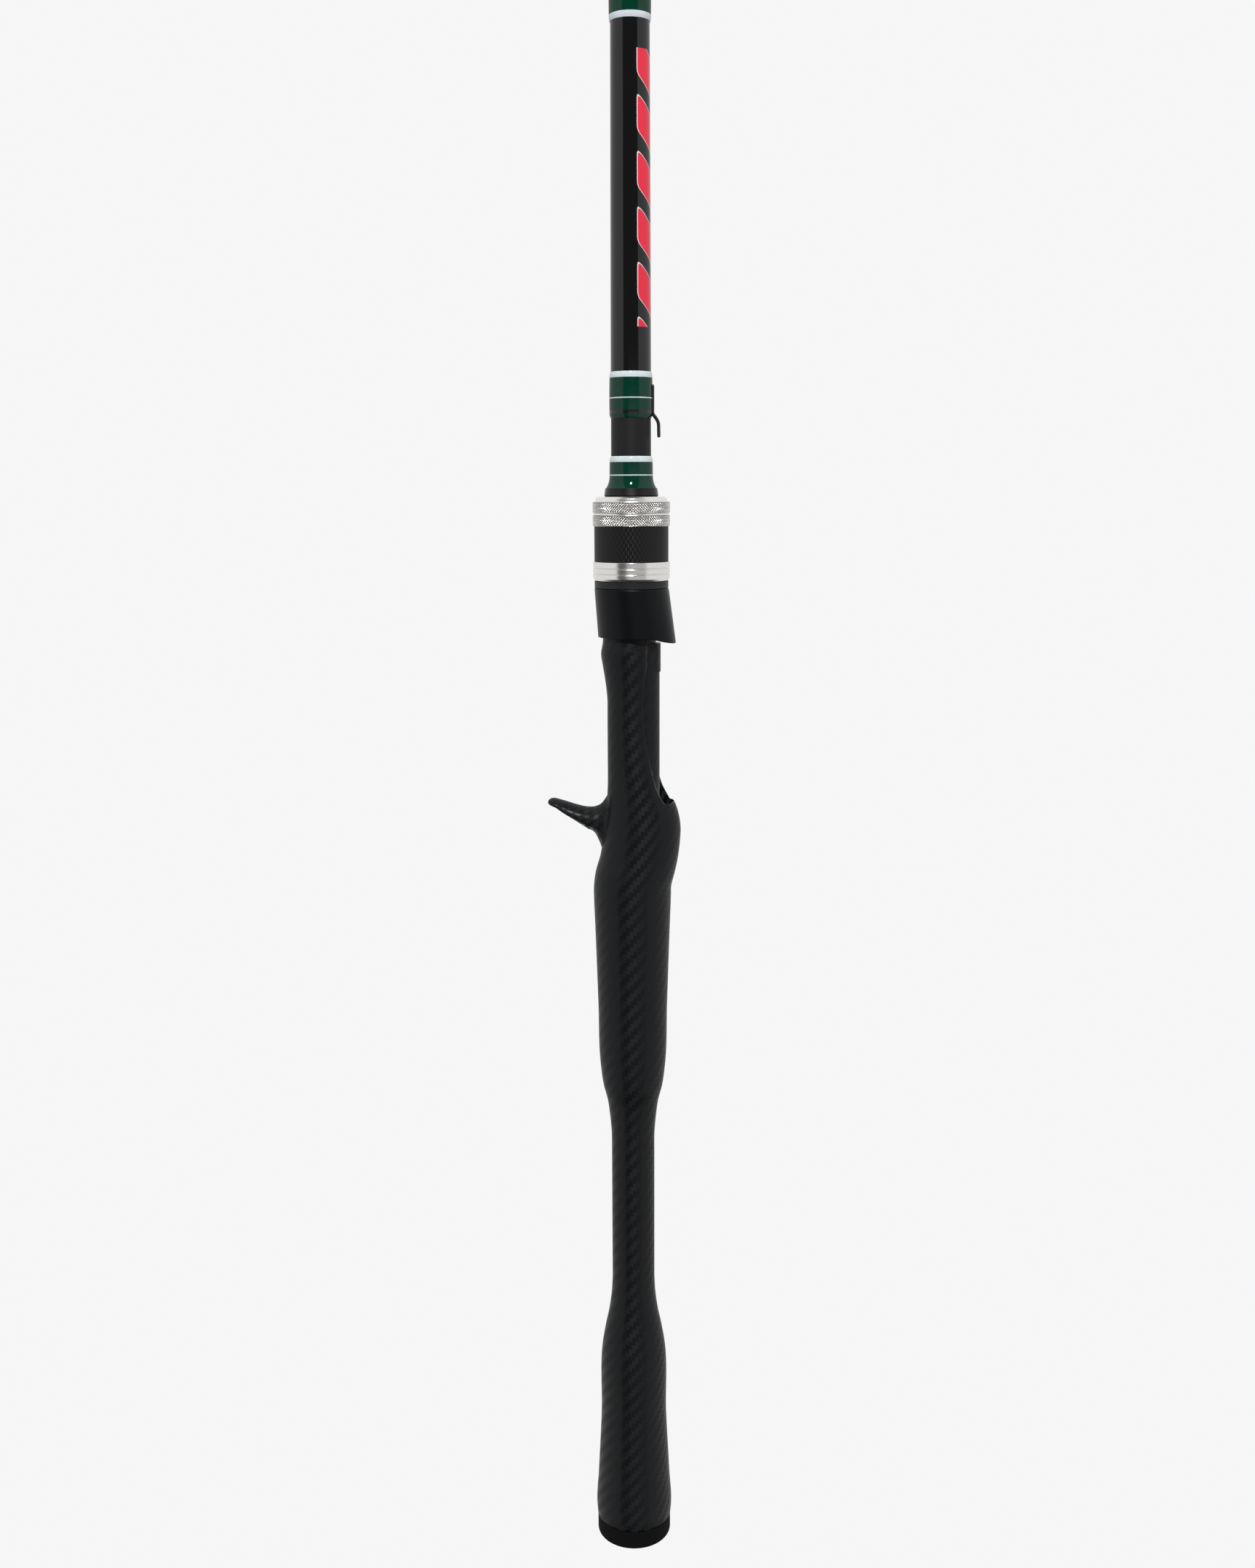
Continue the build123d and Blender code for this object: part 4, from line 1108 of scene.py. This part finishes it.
# %% Label zone
label_low, label_high = low_of("label_coat"), high_of("label_coat")
wrap("label_skin", "label_coat", clear_coat, label_low, label_high, 0.1, (0, 0), "clear_coat", 0.0)
stripe_low, stripe_high = label_low + 14.0, label_high - 9.0
stripe_count = 5
stripe_lean = 0.36              # stripes climbed per radian
stripe_reach = 1.02             # half angle that the stripes cover, in radians
stripe_half = 0.33              # half of a stripe's share of its pitch
pale_edge = 1.6


def stripes(finish):
    """Red stripes with a pale edge, in the window of height and angle that the label has.

    s = (z - low) / length + lean * angle repeats once for each stripe. Inside a stripe the
    tenth powers of its two distances, each over its reach, add up to less than 1. The pale
    edge is where the sum is under `pale_edge`.
    """
    length = (stripe_high - stripe_low) / stripe_count * MM
    height = finish.math("DIVIDE", finish.math("SUBTRACT", finish.z, stripe_low * MM), length)
    lean = finish.math("ADD", height, finish.math("MULTIPLY", finish.angle(), stripe_lean))
    place = finish.math("ABSOLUTE", finish.math("SUBTRACT", finish.math("FRACT", lean), 0.5))
    side = finish.math("DIVIDE", finish.math("ABSOLUTE", finish.angle()), stripe_reach)
    end = finish.math("DIVIDE", place, stripe_half)
    square = finish.math("ADD", finish.math("POWER", side, 10.0), finish.math("POWER", end, 10.0))
    middle = (stripe_low + stripe_high) / 2
    off = finish.math("ABSOLUTE", finish.math("SUBTRACT", finish.z, middle * MM))
    near = finish.math("LESS_THAN", off, (stripe_high - stripe_low) / 2 * MM)
    red = finish.math("MULTIPLY", near, finish.math("LESS_THAN", square, 1.0))
    edge = finish.math("MULTIPLY", near, finish.math("LESS_THAN", square, pale_edge))
    black = (0.0035, 0.0035, 0.004)
    finish.drive("Base Color", finish.colours(
        red, finish.colours(edge, black, (0.55, 0.5, 0.5)), (0.62, 0.008, 0.035)))


stripes(clear_coat)

# %% [markdown]
# ## Hook keeper
#
# A bent wire whose foot is bound under the wrap. A wire is a circle carried along a path: the
# path is a curve with soft bends, and a short dome closes its free end.

# %% Wires
def wire_along(name, path, radius, columns=20, dome_rings=6):
    """Tube with domed ends about a path of shape (rows, 3) in the plane y = 0.

    Each ring is path + radius (side cos a + up sin a), with side and up square to the path.
    """
    ahead = np.gradient(path, axis=0)
    ahead /= np.linalg.norm(ahead, axis=1)[:, None]
    side = np.cross(ahead, (0.0, 1.0, 0.0))
    side /= np.linalg.norm(side, axis=1)[:, None]
    up = np.cross(side, ahead)
    t = np.linspace(0, np.pi / 2, dome_rings + 1)[1:, None]
    tail = path[-1] + ahead[-1] * radius * np.sin(t)
    nose = path[0] - ahead[0] * radius * np.sin(t[::-1])
    ball = radius * np.cos(t[:, 0])
    r = np.concatenate([ball[::-1], np.full(len(path), radius), ball])
    path = np.concatenate([nose, path, tail])
    side, up = (np.pad(way, ((dome_rings, dome_rings), (0, 0)), mode="edge") for way in (side, up))
    angle = np.linspace(0, 2 * np.pi, columns, endpoint=False)
    points = path[:, None] + r[:, None, None] * (
        side[:, None] * np.cos(angle)[:, None] + up[:, None] * np.sin(angle)[:, None])
    return skin(name, points, sharp=60.0)


def bent(corners, radius, step=0.25):
    """Path through corners, each rounded by a curve, with points about a step apart."""
    corners = np.asarray(corners, float)
    runs = [corners[:1]]
    for before, here, after in zip(corners, corners[1:], corners[2:]):
        to_before, to_after = before - here, after - here
        cut = min(radius, 0.48 * np.linalg.norm(to_before), 0.48 * np.linalg.norm(to_after))
        a = here + to_before / np.linalg.norm(to_before) * cut
        b = here + to_after / np.linalg.norm(to_after) * cut
        t = np.linspace(0, 1, 12)[:, None]
        runs.append((1 - t) ** 2 * a + 2 * t * (1 - t) * here + t**2 * b)
    runs.append(corners[-1:])
    path = np.concatenate(runs)
    along = np.concatenate([[0], np.cumsum(np.linalg.norm(np.diff(path, axis=0), axis=1))])
    at = np.linspace(0, along[-1], max(8, int(along[-1] / step)))
    return np.stack([np.interp(at, along, path[:, k]) for k in range(3)], axis=-1)


# %% Keeper
wire_lo, wire_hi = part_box("keeper_wire")
wire_r = 0.58
wire_out = wire_hi.x / MM - wire_r
wire_foot = wire_lo.x / MM + wire_r
wire_low = wire_lo.z / MM + wire_r
keeper = wire_along("keeper_hook", bent([
    (wire_foot, 0, wire_hi.z / MM - wire_r), (wire_foot, 0, keeper_low + 1.4),
    (wire_out - 1.1, 0, keeper_low + 0.3), (wire_out - 0.1, 0, keeper_low - 1.4),
    (wire_out, 0, wire_low + 0.7)], 1.5), wire_r)
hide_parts("keeper_wire")
keeper_black.put_on(keeper)

# %% [markdown]
# ## Finishes for the measured parts
#
# The blank, the guides, the barrel and the hidden parts have the right shape already, so they
# keep their measured meshes and only take a finish.

# %% Finish every measured part
finish_of = {finish.name: finish for finish in (
    woven_carbon, carbon_sleeve, blank_carbon, black_rubber, arbor_foam, black_nylon, satin_black,
    aluminium, core_metal, spring_steel, black_anodised, keeper_black, clear_coat, green_thread,
    pale_thread, guide_metal, guide_ceramic,
)}
for part in record["subparts"]:
    finish_of[part["material_slot"]].put_on(part["node"])
